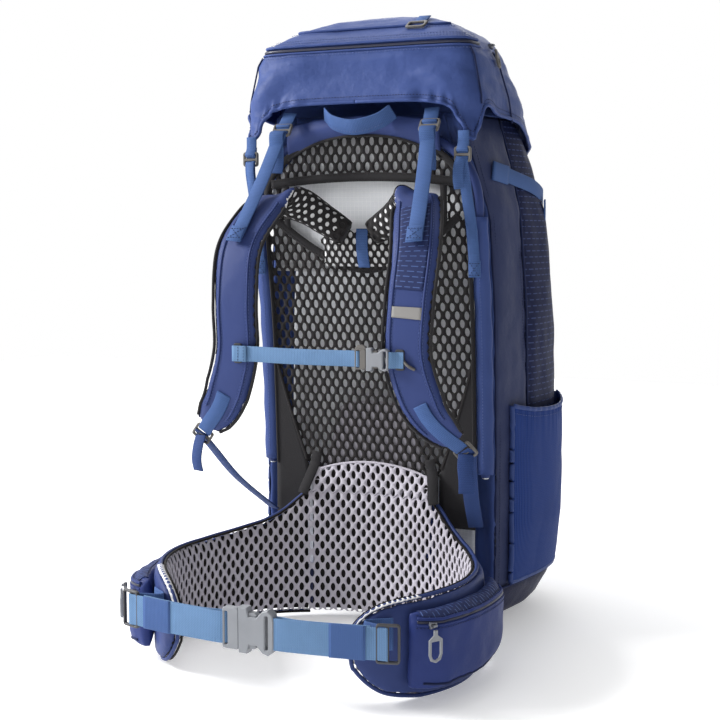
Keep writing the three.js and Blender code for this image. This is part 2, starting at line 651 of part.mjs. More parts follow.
function buildHipFastening() {
  const sizes = buckleSizes(WIDE_WEBBING);
  const matingX = -8;
  const frame = placed(vec(matingX, HIP_LINE_Y, HIP_LINE_Z), vec(1, 0, 0), vec(0, 0, 1));
  add("hip_buckle_female", buckleFemale(sizes), PALE_PLASTIC(), frame);
  add("hip_buckle_male", buckleMale(sizes), PALE_PLASTIC(), frame);
  const ends = { left: matingX + sizes.length + 1.5, right: sizes.maleLength - matingX + 1.5 };
  const glideY = HIP_LINE_Y + 17;
  for (const [side, sign] of SIDES) {
    const start = vec(sign * ends[side], HIP_LINE_Y, HIP_LINE_Z);
    const outer = vec(sign * (TRI_GLIDE_X - 18), glideY - 3, HIP_LINE_Z);
    add("hip_webbing_" + side, webbing([
      start, vec(sign * 95, HIP_LINE_Y + 4, HIP_LINE_Z), outer,
    ], vec(0, 0, 1), WIDE_WEBBING, 5), LIGHT_WEBBING());
    const lean = vec(sign, 0.3, 0);
    const glide = placed(vec(sign * TRI_GLIDE_X, glideY, HIP_LINE_Z), vec(0, 0, 1), lean);
    add("hip_glide_" + side, ladderLock(WIDE_WEBBING, 28, 5), DARK_PLASTIC(), glide);
  }
}

// ---------------------------------------------------------------- lid
/** Lid by height above the bag's top seam: rear edge, and front edge and half width as shares of the bag's. */
const LID_REAR = [[-60, -20], [-20, -18], [22, -14], [71, -8], [95, -2], [108, 18], [122, 42], [132, 62],
  [137, 80]];
const LID_FRONT = [[-60, 0.912], [-20, 0.842], [22, 0.749], [71, 0.623], [95, 0.556], [108, 0.503],
  [122, 0.439], [132, 0.38], [137, 0.322]];
const LID_HALF = [[-60, 0.885], [-20, 0.88], [22, 0.865], [71, 0.81], [95, 0.74], [108, 0.66],
  [122, 0.525], [132, 0.375], [137, 0.2]];
/** Hem height above the top seam by angle from the rear middle to the front middle. */
const LID_HEM = [[0, 16], [22, 6], [40, -38], [52, -36], [66, 2], [76, 10], [100, -14], [125, -42],
  [150, -54], [180, -60]];

const LID_ZIP_RISE = 90;

function lidPoint(angle, rise, inset) {
  const rear = along(LID_REAR, rise) + inset;
  const front = BAG_FRONT * along(LID_FRONT, rise) - inset;
  const half = BAG_HALF_WIDTH * along(LID_HALF, rise) - inset;
  const widest = lerp(rear, front, 0.42);
  const sine = Math.sin(radians(angle));
  const cosine = Math.cos(radians(angle));
  const corner = cosine > 0 ? 0.25 : 0.62; // square corners at the back, round ones at the front
  const soft = (v) => Math.sign(v) * Math.abs(v) ** corner;
  const reach = cosine > 0 ? widest - rear : front - widest;
  return vec(half * soft(sine), widest - reach * soft(cosine), BAG_TOP + rise);
}

function lidRing(share01, inset, drop = 0) {
  const crown = LID_TOP - BAG_TOP;
  return range(36).map((i) => {
    const angle = i * 10;
    const turned = angle > 180 ? 360 - angle : angle;
    const rise = lerp(crown, along(LID_HEM, turned), share01) - drop;
    return lidPoint(angle, rise, inset);
  });
}

function buildLid() {
  const shares = [0, 0.05, 0.12, 0.22, 0.34, 0.6, 1];
  const outer = shares.map((s) => lidRing(s, 0));
  const inner = shares.slice().reverse().map((s) => lidRing(s, LID_WALL, s === 1 ? 0 : LID_WALL));
  add("lid", loft([...outer, ...inner]), NYLON());

  const zipAt = lidPoint(90, LID_ZIP_RISE, 0);
  const slider = placed(vec(zipAt.x + 3.2, zipAt.y, zipAt.z), vec(0, 1, 0), vec(-0.3, 0, 1));
  add("lid_zip_slider", zipSlider(), DARK_PLASTIC(), slider);
  const pull = placed(vec(zipAt.x + 10, zipAt.y, zipAt.z - 4.5), vec(0, 1, 0), vec(-0.25, 0, 1));
  add("lid_zip_pull", zipPull(26, 10), TAUPE_PLASTIC(), pull);

  const ringOutline = roundedRect(THREE.Shape, -14, -16, 14, 2, 4);
  ringOutline.holes.push(roundedRect(THREE.Path, -10.5, -12.5, 10.5, -1.5, 2.5));
  const ringAt = lidPoint(0, 117, 0);
  const slope = ringAt.clone().sub(lidPoint(0, 100, 0)).normalize();
  const off = vec(1, 0, 0).cross(slope).normalize();
  const ring = placed(vec(70, ringAt.y, ringAt.z).addScaledVector(off, 3.5), vec(1, 0, 0), slope);
  add("lid_ring", plate(ringOutline, 3.4, 0.8), TAUPE_PLASTIC(), ring);

  for (const [side, sign] of SIDES) {
    const lockAt = vec(sign * (FRAME_HALF_WIDTH - 8), LID_HINGE_Y - 6, BAG_TOP - 57);
    const lock = placed(lockAt, vec(1, 0, 0), vec(0, 0, 1));
    add("lid_lock_" + side, ladderLock(LID_WEBBING, 20), TAUPE_PLASTIC(), lock);
    add("lid_strap_" + side, webbing([
      lockAt.clone().add(vec(0, 0, -12)), vec(sign * (FRAME_HALF_WIDTH - 6), -9, BAG_TOP - 100),
      vec(sign * (FRAME_HALF_WIDTH - 4), 3, BAG_TOP - 150),
      vec(sign * (FRAME_HALF_WIDTH - 2), 19, BAG_TOP - 216),
    ], vec(1, 0, 0), LID_WEBBING, 6), LIGHT_WEBBING());
  }
}

function buildHaulLoop() {
  add("haul_loop", webbing([
    vec(-50, -5, BAG_TOP - 3), vec(-32, -14, BAG_TOP - 16), vec(0, -20, BAG_TOP - 22),
    vec(32, -14, BAG_TOP - 16), vec(50, -5, BAG_TOP - 3),
  ], vec(0, -0.5, 1), STRAP_WEBBING, 10), LIGHT_WEBBING());
}

// ---------------------------------------------------------------- closures at the front
const FRONT_BUCKLE_X = 72;
const FRONT_BUCKLE_Z = BAG_TOP - 96;

function buildFrontBuckles() {
  const sizes = buckleSizes(STRAP_WEBBING);
  const wallY = bagPoint(8.5, FRONT_BUCKLE_Z - sizes.length, 0).y;
  for (const [side, sign] of SIDES) {
    const at = vec(sign * FRONT_BUCKLE_X, wallY + 14, FRONT_BUCKLE_Z);
    const arm = vec(0, at.y - LID_HINGE_Y, at.z - LID_HINGE_Z).normalize();
    const inward = vec(0, arm.z, -arm.y); // square to the lid's swing radius
    const frame = placed(at, inward, vec(1, 0, 0));
    add("front_buckle_female_" + side, buckleFemale(sizes), TAUPE_PLASTIC(), frame);
    add("front_buckle_male_" + side, buckleMale(sizes), TAUPE_PLASTIC(), frame);
  }
}

function buildCordLock() {
  const bodyRadius = 8;
  const bodyHeight = 20;
  const at = vec(0, 196, BAG_TOP + COLLAR_HEIGHT + 11);
  const body = new THREE.LatheGeometry([
    [0, 0], [bodyRadius - 1, 0], [bodyRadius, 1], [bodyRadius, bodyHeight], [bodyRadius - 2, bodyHeight],
    [bodyRadius - 2, 8], [0, 8],
  ].map(([r, y]) => new THREE.Vector2(r, y)), 12);
  const plungerRadius = bodyRadius - 2 - 0.4;
  const button = new THREE.LatheGeometry([
    [0, 14], [plungerRadius, 14], [plungerRadius, 25], [plungerRadius - 1.5, 27], [0, 27],
  ].map(([r, y]) => new THREE.Vector2(r, y)), 12);
  const frame = placed(at, vec(1, 0, 0), vec(0, -1, 0));
  add("cord_lock_body", body, DARK_PLASTIC(), frame);
  add("cord_lock_button", button, TAUPE_PLASTIC(), frame);
}

buildBag();
pocket("side_pocket_left", SIDE_POCKET, 1);
pocket("side_pocket_right", SIDE_POCKET, -1);
pocket("front_pocket", FRONT_POCKET, 1);
buildFrame();
buildHarness();
buildSternumStrap();
buildHipBelt();
buildHipFastening();
buildLid();
buildHaulLoop();
buildFrontBuckles();
buildCordLock();

export default pack;
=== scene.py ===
"""Looks for a framed trekking backpack: sewn shell, suspended mesh back, harness, hip belt and lid.

Lengths are millimetres in the pack's own layout, where y = 0 is the plane of the back mesh's top
edge, until a mesh is made; `in_frame` then gives metres in the CAD frame.
"""

import math

import bmesh
import bpy
import numpy as np
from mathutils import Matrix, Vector, noise
from mathutils.bvhtree import BVHTree


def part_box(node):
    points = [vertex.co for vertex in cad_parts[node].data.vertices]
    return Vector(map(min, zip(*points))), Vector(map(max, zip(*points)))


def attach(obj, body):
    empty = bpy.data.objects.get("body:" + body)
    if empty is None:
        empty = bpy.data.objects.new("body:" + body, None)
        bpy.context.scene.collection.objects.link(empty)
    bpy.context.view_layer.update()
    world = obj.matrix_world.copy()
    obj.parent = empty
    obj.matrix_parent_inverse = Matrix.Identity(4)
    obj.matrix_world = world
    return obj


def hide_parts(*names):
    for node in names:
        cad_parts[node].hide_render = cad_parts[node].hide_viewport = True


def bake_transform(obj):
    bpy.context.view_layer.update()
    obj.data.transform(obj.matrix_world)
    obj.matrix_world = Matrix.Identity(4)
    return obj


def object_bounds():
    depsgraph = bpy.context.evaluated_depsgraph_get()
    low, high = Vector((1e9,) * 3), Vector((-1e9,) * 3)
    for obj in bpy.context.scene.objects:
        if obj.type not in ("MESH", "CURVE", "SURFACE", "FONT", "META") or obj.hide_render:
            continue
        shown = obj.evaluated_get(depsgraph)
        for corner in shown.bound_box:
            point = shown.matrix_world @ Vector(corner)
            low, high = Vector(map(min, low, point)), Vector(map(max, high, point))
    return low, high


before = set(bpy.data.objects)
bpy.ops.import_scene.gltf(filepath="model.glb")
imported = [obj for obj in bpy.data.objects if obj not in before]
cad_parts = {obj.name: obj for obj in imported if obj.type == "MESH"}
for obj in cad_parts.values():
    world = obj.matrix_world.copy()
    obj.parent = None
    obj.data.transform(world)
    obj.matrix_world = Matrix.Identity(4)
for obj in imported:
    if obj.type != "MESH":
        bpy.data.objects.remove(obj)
CAD_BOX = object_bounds()


# ---------------------------------------------------------------- places taken from the frame
def box(node):
    """A CAD node's lowest and highest corner, in millimetres of the frame."""
    low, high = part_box(node)
    return np.array(low) * 1000, np.array(high) * 1000


MESH_CREST = 7.5  # from the layout's y = 0 to the front of the back mesh's top edge
BACK_PLANE = round((box("back_mesh")[0][1] - MESH_CREST) / 5) * 5
BAG_TOP = box("back_panel")[1][2]
BASE_TOP = box("base_tray")[1][2]
BAG_HALF_WIDTH = round(box("side_panel_left")[1][0])
BAG_FRONT = round(box("front_panel")[1][1] - BACK_PLANE)
LID_TOP = box("lid")[1][2]
LID_RISE = LID_TOP - BAG_TOP
FRAME_FOOT = box("back_mesh")[0][2]
FRAME_CROWN = box("frame_hoop")[1][2] - 4.5
FRAME_SHOULDER = FRAME_CROWN - 116
FRAME_HALF_WIDTH = 162
MESH_HALF_WIDTH = 149
STRAP_APEX = BAG_TOP - 106
STRAP_FOOT = 286
STERNUM_Z = (box("sternum_webbing")[0][2] + box("sternum_webbing")[1][2]) / 2
HIP_LINE_Z = (box("hip_webbing_left")[0][2] + box("hip_webbing_left")[1][2]) / 2
BELT_CENTRE_Y, BELT_HALF_WIDTH, BELT_BACK, BELT_FRONT, BELT_THICKNESS = -130, 207, 186, 180, 16
WING_FROM, WING_END = 27, 146
POCKET_RADIUS, POCKET_FROM, POCKET_TO, POCKET_ZIP_Z = 240, 72, 124, 100
SIDES = (("left", 1), ("right", -1))


def place_of(node):
    """A CAD node's middle, in layout millimetres."""
    low, high = box(node)
    return (low + high) / 2 - [0, BACK_PLANE, 0]


def in_frame(points):
    """Layout millimetres to frame metres."""
    moved = np.asarray(points, float).reshape(-1, 3).copy()
    moved[:, 1] += BACK_PLANE
    return moved / 1000


def to_layout(points):
    """Frame metres to layout millimetres."""
    moved = np.asarray(points, float).reshape(-1, 3) * 1000
    moved[:, 1] -= BACK_PLANE
    return moved


def along(table, key):
    """Linear lookup in [key, value] pairs; key may be an array."""
    keys, values = zip(*table)
    return np.interp(key, keys, values)


# ---------------------------------------------------------------- shader expressions
class Socket:
    """A shader value. Arithmetic on it adds Math nodes; node() adds any other node."""

    def __init__(self, tree, socket=None):
        self.tree, self.socket = tree, socket

    def node(self, kind, settings=None, inputs=None, output=0):
        made = self.tree.nodes.new(kind)
        for key, value in (settings or {}).items():
            if key == "stops":
                ramp = made.color_ramp
                while len(ramp.elements) < len(value):
                    ramp.elements.new(0.5)
                for element, (place, colour) in zip(ramp.elements, value):
                    element.position, element.color = place, (*colour, 1)
            else:
                setattr(made, key, value)
        for key, value in (inputs or {}).items():
            if isinstance(value, Socket):
                self.tree.links.new(value.socket, made.inputs[key])
            else:
                made.inputs[key].default_value = value
        return Socket(self.tree, made.outputs[output])

    def maths(self, operation, *values):
        return self.node("ShaderNodeMath", {"operation": operation}, dict(enumerate(values)))

    def __add__(self, other):
        return self.maths("ADD", self, other)

    __radd__ = __add__

    def __sub__(self, other):
        return self.maths("SUBTRACT", self, other)

    def __rsub__(self, other):
        return self.maths("SUBTRACT", other, self)

    def __mul__(self, other):
        return self.maths("MULTIPLY", self, other)

    __rmul__ = __mul__

    def __truediv__(self, other):
        return self.maths("DIVIDE", self, other)

    def __rtruediv__(self, other):
        return self.maths("DIVIDE", other, self)

    def __lt__(self, other):
        return self.maths("LESS_THAN", self, other)

    def __gt__(self, other):
        return self.maths("GREATER_THAN", self, other)

    def sine(self):
        return self.maths("SINE", self)

    def wave(self, pitch):
        """From 0 to 1 and back, once every `pitch`."""
        return (self * (2 * math.pi / pitch)).sine() * 0.5 + 0.5

    def fraction(self):
        return self.maths("FRACT", self)

    def floor(self):
        return self.maths("FLOOR", self)

    def absolute(self):
        return self.maths("ABSOLUTE", self)

    def clamped(self, low, high):
        return self.node("ShaderNodeMapRange", {}, {0: self, 1: low, 2: high, 3: 0.0, 4: 1.0})

    def blend(self, first, second):
        """The colour `first` where self is 0 and `second` where it is 1."""
        colours = {
            key: value if isinstance(value, Socket) else (*value, 1)
            for key, value in ((6, first), (7, second))
        }
        return self.node("ShaderNodeMix", {"data_type": "RGBA"}, {0: self, **colours}, 2)

    def place(self, kind="Object"):
        return self.node("ShaderNodeTexCoord", {}, {}, kind)

    def axes(self, kind="Object"):
        """The x, y and z of a coordinate as three values."""
        split = self.tree.nodes.new("ShaderNodeSeparateXYZ")
        self.tree.links.new(self.place(kind).socket, split.inputs[0])
        return [Socket(self.tree, out) for out in split.outputs]

    def cloud(self, size, detail=3.0, roughness=0.5, stretch=(1, 1, 1)):
        """Smooth noise from 0 to 1 whose blots are about `size` metres across."""
        moved = self.node("ShaderNodeMapping", {}, {0: self.place(), "Scale": stretch})
        return self.node(
            "ShaderNodeTexNoise", {},
            {"Vector": moved, "Scale": 1 / size, "Detail": detail, "Roughness": roughness},
        )


def srgb(red, green, blue):
    """A colour as seen, 0 to 255, as linear light."""
    return tuple(
        (c / 12.92 if c <= 0.04045 else ((c + 0.055) / 1.055) ** 2.4)
        for c in (red / 255, green / 255, blue / 255)
    )


def scaled(colour, share):
    return tuple(min(1.0, c * share) for c in colour)


def finish_of(name, paint, sheen=0.0, coat=0.0, metallic=0.0, specular=0.16, tint=(1, 1, 1)):
    """A material. `paint` gives its colour, roughness and a height in metres for the bump."""
    made = bpy.data.materials.new(name)
    made.use_nodes = True
    tree = made.node_tree
    shader = tree.nodes["Principled BSDF"]
    for socket, value in (
        ("Sheen Weight", sheen), ("Sheen Roughness", 0.4), ("Sheen Tint", (*tint, 1)),
        ("Coat Weight", coat), ("Metallic", metallic), ("Specular IOR Level", specular),
    ):
        shader.inputs[socket].default_value = value
    start = Socket(tree)
    colour, roughness, height = paint(start)
    for socket, value in (("Base Color", colour), ("Roughness", roughness)):
        if isinstance(value, Socket):
            tree.links.new(value.socket, shader.inputs[socket])
        else:
            shader.inputs[socket].default_value = (*value, 1) if socket == "Base Color" else value
    bump = start.node("ShaderNodeBump", {}, {"Strength": 1.0, "Distance": 1.0, "Height": height})
    tree.links.new(bump.socket, shader.inputs["Normal"])
    return made


# ---------------------------------------------------------------- finishes
THREAD_PITCH = 0.0011  # metres


def plain_weave(s):
    """Crossed threads that need no unwrapped surface."""
    x, y, z = s.axes()
    return (x + y).wave(THREAD_PITCH) * z.wave(THREAD_PITCH)


def nylon(name, colour, wrinkle=0.0012, ripstop=0.0):
    def paint(s):
        drift = s.cloud(0.16, 2.0)
        crease = s.cloud(0.03, 4.0, 0.55)
        thread = plain_weave(s)
        tone = drift * 0.6 + thread * 0.25 + crease * 0.15
        base = tone.blend(scaled(colour, 0.78), scaled(colour, 1.22))
        height = crease * wrinkle + s.cloud(0.075, 3.0) * (wrinkle * 2) + thread * 0.00006
        if ripstop:
            u, v, _ = s.axes("UV")
            line = (u / ripstop).fraction() < 0.1
            rung = (v / ripstop).fraction() < 0.1
            grid = s.maths("MAXIMUM", line, rung)
            base = (grid * 0.35).blend(base, scaled(colour, 1.6))
            height = height + grid * 0.00012
        return base, 0.56 - crease * 0.1, height

    return finish_of(name, paint, sheen=0.05, tint=scaled(colour, 3))


def dashed_nylon(name, colour, thread_colour, pitch, dash, upright=False):
    """Nylon woven with rows of pale dashes."""
    def paint(s):
        u, v, _ = s.axes("UV")
        if upright:
            u, v = v, u
        row = (v / pitch).floor()
        across = (v / pitch).fraction()
        run = (u / dash + row * 0.37 + s.cloud(0.02, 1.0) * 0.5).fraction()
        mark = (across < 0.17) * (run < 0.68)
        ground = s.cloud(0.09, 3.0).blend(scaled(colour, 0.8), scaled(colour, 1.2))
        base = (mark * 0.75).blend(ground, thread_colour)
        height = s.cloud(0.05, 3.0) * 0.0022 + mark * 0.00025 + across.wave(1.0) * 0.0002
        return base, 0.62, height

    return finish_of(name, paint, sheen=0.05, tint=scaled(colour, 3))


def ribbed_stretch(name, colour):
    """Knitted stretch fabric with close upright ribs and a faint cross weave."""
    def paint(s):
        u, v, _ = s.axes("UV")
        rib = (u + s.cloud(0.03, 2.0) * 0.0012).wave(0.0032)
        cross = v.wave(0.0024)
        tone = rib * 0.5 + cross * 0.15 + s.cloud(0.1, 2.0) * 0.35
        base = tone.blend(scaled(colour, 0.7), scaled(colour, 1.25))
        return base, 0.7, rib * 0.0004 + cross * 0.0001 + s.cloud(0.06, 2.0) * 0.002

    return finish_of(name, paint, sheen=0.08, tint=scaled(colour, 2))


def webbing_weave(name, colour):
    """Flat webbing: ribs across and a twill slant."""
    def paint(s):
        u, v, _ = s.axes("UV")
        rib = u.wave(0.0022)
        slant = (u + v).wave(0.003)
        tone = rib * 0.35 + slant * 0.25 + s.cloud(0.02, 3.0) * 0.4
        base = tone.blend(scaled(colour, 0.72), scaled(colour, 1.25))
        return base, 0.68, rib * 0.0002 + slant * 0.00008

    return finish_of(name, paint, sheen=0.08, tint=scaled(colour, 2))


def knit(name, colour, spread=0.25, size=0.004, bump=0.0004):
    """Spacer mesh yarn: fuzzy, with fine strands."""
    def paint(s):
        strand = s.cloud(size, 4.0, 0.7)
        x, y, z = s.axes()
        yarn = (x + z).wave(0.0016) * (x - z + y).wave(0.0019)
        tone = strand * 0.6 + yarn * 0.4
        base = tone.blend(scaled(colour, 1 - spread), scaled(colour, 1 + spread))
        return base, 0.85, strand * bump + yarn * 0.0001

    return finish_of(name, paint, sheen=0.1, tint=(1, 1, 1))


def moulded(name, colour, roughness=0.42):
    """Moulded nylon or acetal: fine spark texture and slightly rubbed high spots."""
    def paint(s):
        grain = s.cloud(0.0012, 2.0)
        rubbed = s.cloud(0.02, 4.0)
        base = rubbed.blend(scaled(colour, 0.88), scaled(colour, 1.12))
        return base, roughness + rubbed * 0.12, grain * 0.00005

    return finish_of(name, paint, coat=0.08, specular=0.5)


def drawn_metal(name, colour, roughness):
    def paint(s):
        scratch = s.cloud(0.002, 3.0, 0.6, (1, 1, 8))
        return scratch.blend(scaled(colour, 0.8), colour), roughness + scratch * 0.2, scratch * 0.00002

    return finish_of(name, paint, metallic=1.0, specular=0.5)


BODY = srgb(58, 76, 130)
SIDE = srgb(19, 27, 62)
STRETCH = srgb(33, 58, 122)
STRAP_BLUE = srgb(52, 66, 116)
PALE_THREAD = srgb(84, 108, 166)
M = {
    "shell": nylon("pack_shell_nylon", BODY),
    "lid": nylon("lid_nylon", scaled(BODY, 1.02), wrinkle=0.0022),
    "strap": nylon("harness_nylon", STRAP_BLUE, wrinkle=0.0006),
    "pocket": nylon("hip_pocket_nylon", srgb(42, 56, 112), wrinkle=0.0014),
    "base": nylon("base_nylon", srgb(19, 24, 58), wrinkle=0.0016),
    "strip": nylon("side_strip_nylon", srgb(50, 58, 92), wrinkle=0.0016),
    "dashed": dashed_nylon("dashed_side_nylon", SIDE, srgb(62, 76, 124), 0.0085, 0.016),
    "dashed_strap": dashed_nylon(
        "dashed_harness_nylon", srgb(40, 50, 90), PALE_THREAD, 0.0065, 0.012, upright=True
    ),
    "stretch": ribbed_stretch("stretch_pocket_knit", STRETCH),
    "lining": nylon("pale_ripstop_lining", srgb(226, 228, 232), wrinkle=0.0008, ripstop=0.006),
    "light_web": webbing_weave("light_blue_webbing", srgb(98, 130, 168)),
    "mid_web": webbing_weave("mid_blue_webbing", srgb(66, 92, 142)),
    "dark_web": webbing_weave("dark_blue_webbing", srgb(44, 64, 112)),
    "charcoal": knit("charcoal_spacer_mesh", srgb(40, 38, 39)),
    "binding": knit("charcoal_binding", srgb(46, 45, 47), 0.2, 0.002),
    "grey": knit("warm_grey_spacer_mesh", srgb(190, 186, 196), 0.14),
    "backing": knit("black_spacer_core", srgb(30, 27, 26), 0.3),
    "white_core": knit("white_spacer_core", srgb(232, 232, 234), 0.06),
    "pale_plastic": moulded("pale_grey_acetal", srgb(132, 135, 141)),
    "taupe": moulded("taupe_acetal", srgb(96, 93, 90)),
    "dark_plastic": moulded("dark_grey_acetal", srgb(54, 54, 58)),
    "coil": moulded("zip_coil_nylon", srgb(26, 30, 56), 0.35),
    "slider": drawn_metal("zip_slider_metal", srgb(120, 122, 128), 0.3),
    "alloy": drawn_metal("frame_alloy_satin", srgb(190, 193, 198), 0.32),
    "label": nylon("label_twill", srgb(140, 138, 136), wrinkle=0.0002),
    "thread": knit("stitching_thread", srgb(84, 100, 148), 0.15, 0.001, 0.0001),
    "dark_thread": knit("dark_stitching_thread", srgb(34, 42, 76), 0.15, 0.001, 0.0001),
}


# ---------------------------------------------------------------- mesh helpers
def piece(name, points, faces, material, body="pack", uv=None, replaces=(), smooth=True):
    """A mesh from layout millimetres that rides on a CAD body. uv is one (u, v) in metres a point."""
    mesh = bpy.data.meshes.new(name)
    mesh.from_pydata(in_frame(points).tolist(), [], [list(map(int, f)) for f in faces])
    mesh.validate()
    if uv is not None:
        layer = mesh.uv_layers.new(name="UVMap")
        corner = np.zeros(len(mesh.loops), np.int32)
        mesh.loops.foreach_get("vertex_index", corner)
        layer.data.foreach_set("uv", np.asarray(uv, float)[corner].ravel())
    mesh.materials.append(M[material])
    if smooth:
        mesh.polygons.foreach_set("use_smooth", [True] * len(mesh.polygons))
    made = bpy.data.objects.new(name, mesh)
    bpy.context.scene.collection.objects.link(made)
    if body:
        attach(made, body)
    if replaces:
        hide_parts(*replaces)
    return made


def grid_faces(rows, cols, wrap=False, flip=False):
    r, c = np.meshgrid(np.arange(rows - 1), np.arange(cols if wrap else cols - 1), indexing="ij")
    a = (r * cols + c).ravel()
    b = (r * cols + (c + 1) % cols).ravel()
    quad = np.stack([a, b, b + cols, a + cols], 1)
    return quad[:, ::-1] if flip else quad


def capped_faces(rows, cols):
    """Faces over closed rings of points, with a cap at each end."""
    faces = grid_faces(rows, cols, wrap=True).tolist()
    return faces + [list(range(cols))[::-1], [(rows - 1) * cols + i for i in range(cols)]]


def running(line):
    """The length of a line up to each of its points."""
    return np.concatenate([[0], np.cumsum(np.linalg.norm(np.diff(line, axis=0), axis=1))])


def grid_uv(grid):
    """Lengths along the middle column and row of a grid, in metres, for every point."""
    rows, cols = grid.shape[:2]
    u = running(grid[rows // 2]) / 1000
    v = running(grid[:, cols // 2]) / 1000
    return np.stack(np.meshgrid(u, v), -1).reshape(-1, 2)


def cloth_sheet(name, grid, material, body="pack", replaces=(), wrap=False, flip=False,
                thickness=1.6):
    """A sewn sheet over a grid of points; its thickness goes inwards from the grid."""
    rows, cols = grid.shape[:2]
    made = piece(name, grid.reshape(-1, 3), grid_faces(rows, cols, wrap, flip), material, body,
                 grid_uv(grid), replaces)
    solid = made.modifiers.new("fabric thickness", "SOLIDIFY")
    solid.thickness, solid.offset, solid.use_even_offset = thickness / 1000, -1, False
    return made


def spline(points, count):
    """`count` evenly spaced points of a smooth line through the given ones."""
    p = np.asarray(points, float)
    if len(p) == 2:
        return p[0] + (p[1] - p[0]) * np.linspace(0, 1, count)[:, None]
    ext = np.vstack([2 * p[0] - p[1], p, 2 * p[-1] - p[-2]])
    fine = []
    for i in range(len(p) - 1):
        p0, p1, p2, p3 = ext[i:i + 4]
        t = np.linspace(0, 1, 24, endpoint=False)[:, None]
        fine.append(0.5 * (2 * p1 + (p2 - p0) * t + (2 * p0 - 5 * p1 + 4 * p2 - p3) * t ** 2
                           + (3 * p1 - p0 - 3 * p2 + p3) * t ** 3))
    fine = np.vstack([*fine, p[-1:]])
    length = running(fine)
    at = np.linspace(0, length[-1], count)
    return np.stack([np.interp(at, length, fine[:, k]) for k in range(3)], 1)


def unit(v):
    v = np.asarray(v, float)
    return v / np.maximum(np.linalg.norm(v, axis=-1, keepdims=True), 1e-9)


def frames(path, side):
    """Across and up directions at each point of a path."""
    forward = unit(np.gradient(path, axis=0))
    across = np.broadcast_to(np.asarray(side, float), path.shape)
    across = unit(across - forward * np.sum(forward * across, 1, keepdims=True))
    return across, np.cross(forward, across)


def band(name, points, width, side, material="light_web", body="pack", replaces=(),
         thickness=1.8, count=40):
    """A webbing along a route: a flat rounded section whose width lies along `side`."""
    path = spline(points, count)
    across, up = frames(path, side)
    section = np.array([[-1, -0.5], [-0.94, -1], [0.94, -1], [1, -0.5], [1, 0.5], [0.94, 1], [-0.94, 1],
                        [-1, 0.5]])
    rings = (path[:, None] + across[:, None] * section[None, :, :1] * width / 2
             + up[:, None] * section[None, :, 1:] * (thickness / 2))
    n = len(section)
    uv = np.stack([np.repeat(running(path) / 1000, n), np.tile(section[:, 0] * (width / 2000), count)], 1)
    return piece(name, rings.reshape(-1, 3), capped_faces(count, n), material, body, uv, replaces)


def joined(strap, near, far):
    """Bakes a webbing made with no body into place where it lies; `near` and `far` are not used."""
    start, end = in_frame([near, far])
    tuple(start)
    tuple(end)
    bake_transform(strap)


TUBE_SIDES = 8


def tube(name, points, radius, material="binding", body="pack", count=60, flat=1.0):
    """Piping or cord along a route."""
    path = spline(points, count)
    across, up = frames(path, (0, 0, 1))
    a = np.arange(TUBE_SIDES) * 2 * math.pi / TUBE_SIDES
    rings = (path[:, None] + across[:, None] * np.cos(a)[None, :, None] * radius
             + up[:, None] * np.sin(a)[None, :, None] * radius * flat)
    uv = np.stack([np.repeat(np.linspace(0, 1, count), TUBE_SIDES), np.tile(a * radius / 1000, count)], 1)
    return piece(name, rings.reshape(-1, 3), capped_faces(count, TUBE_SIDES), material, body, uv)


THREAD_RADIUS = 0.42


def stitches(name, routes, material="thread", body="pack", pitch=4.2, length=2.7):
    """Rows of sewn stitches: each is a small thread lozenge lying on the route."""
    points, faces = [], []
    for route in routes:
        route = np.asarray(route, float)
        total = np.linalg.norm(np.diff(route, axis=0), axis=1).sum()
        count = max(2, int(total / pitch))
        path = spline(route, count)
        forward = unit(np.gradient(path, axis=0))
        helper = np.where(np.abs(forward[:, 2:]) < 0.8, [[0, 0, 1]], [[0, 1, 0]])
        across = unit(np.cross(forward, helper))
        up = np.cross(across, forward)
        for p, f, c, u in zip(path, forward, across, up):
            base = len(points)
            for t, r in ((-0.5, 0.45), (-0.2, 1), (0.2, 1), (0.5, 0.45)):
                for x, y in ((1, 0), (0, 1), (-1, 0), (0, -1)):
                    points.append(p + f * t * length + (c * x + u * y) * THREAD_RADIUS * r)
            for ring in range(3):
                for i in range(4):
                    j = (i + 1) % 4
                    faces.append([base + ring * 4 + i, base + ring * 4 + j,
                                  base + ring * 4 + 4 + j, base + ring * 4 + 4 + i])
            faces.append([base + 3, base + 2, base + 1, base])
            faces.append([base + 12, base + 13, base + 14, base + 15])
    return piece(name, points, faces, material, body)


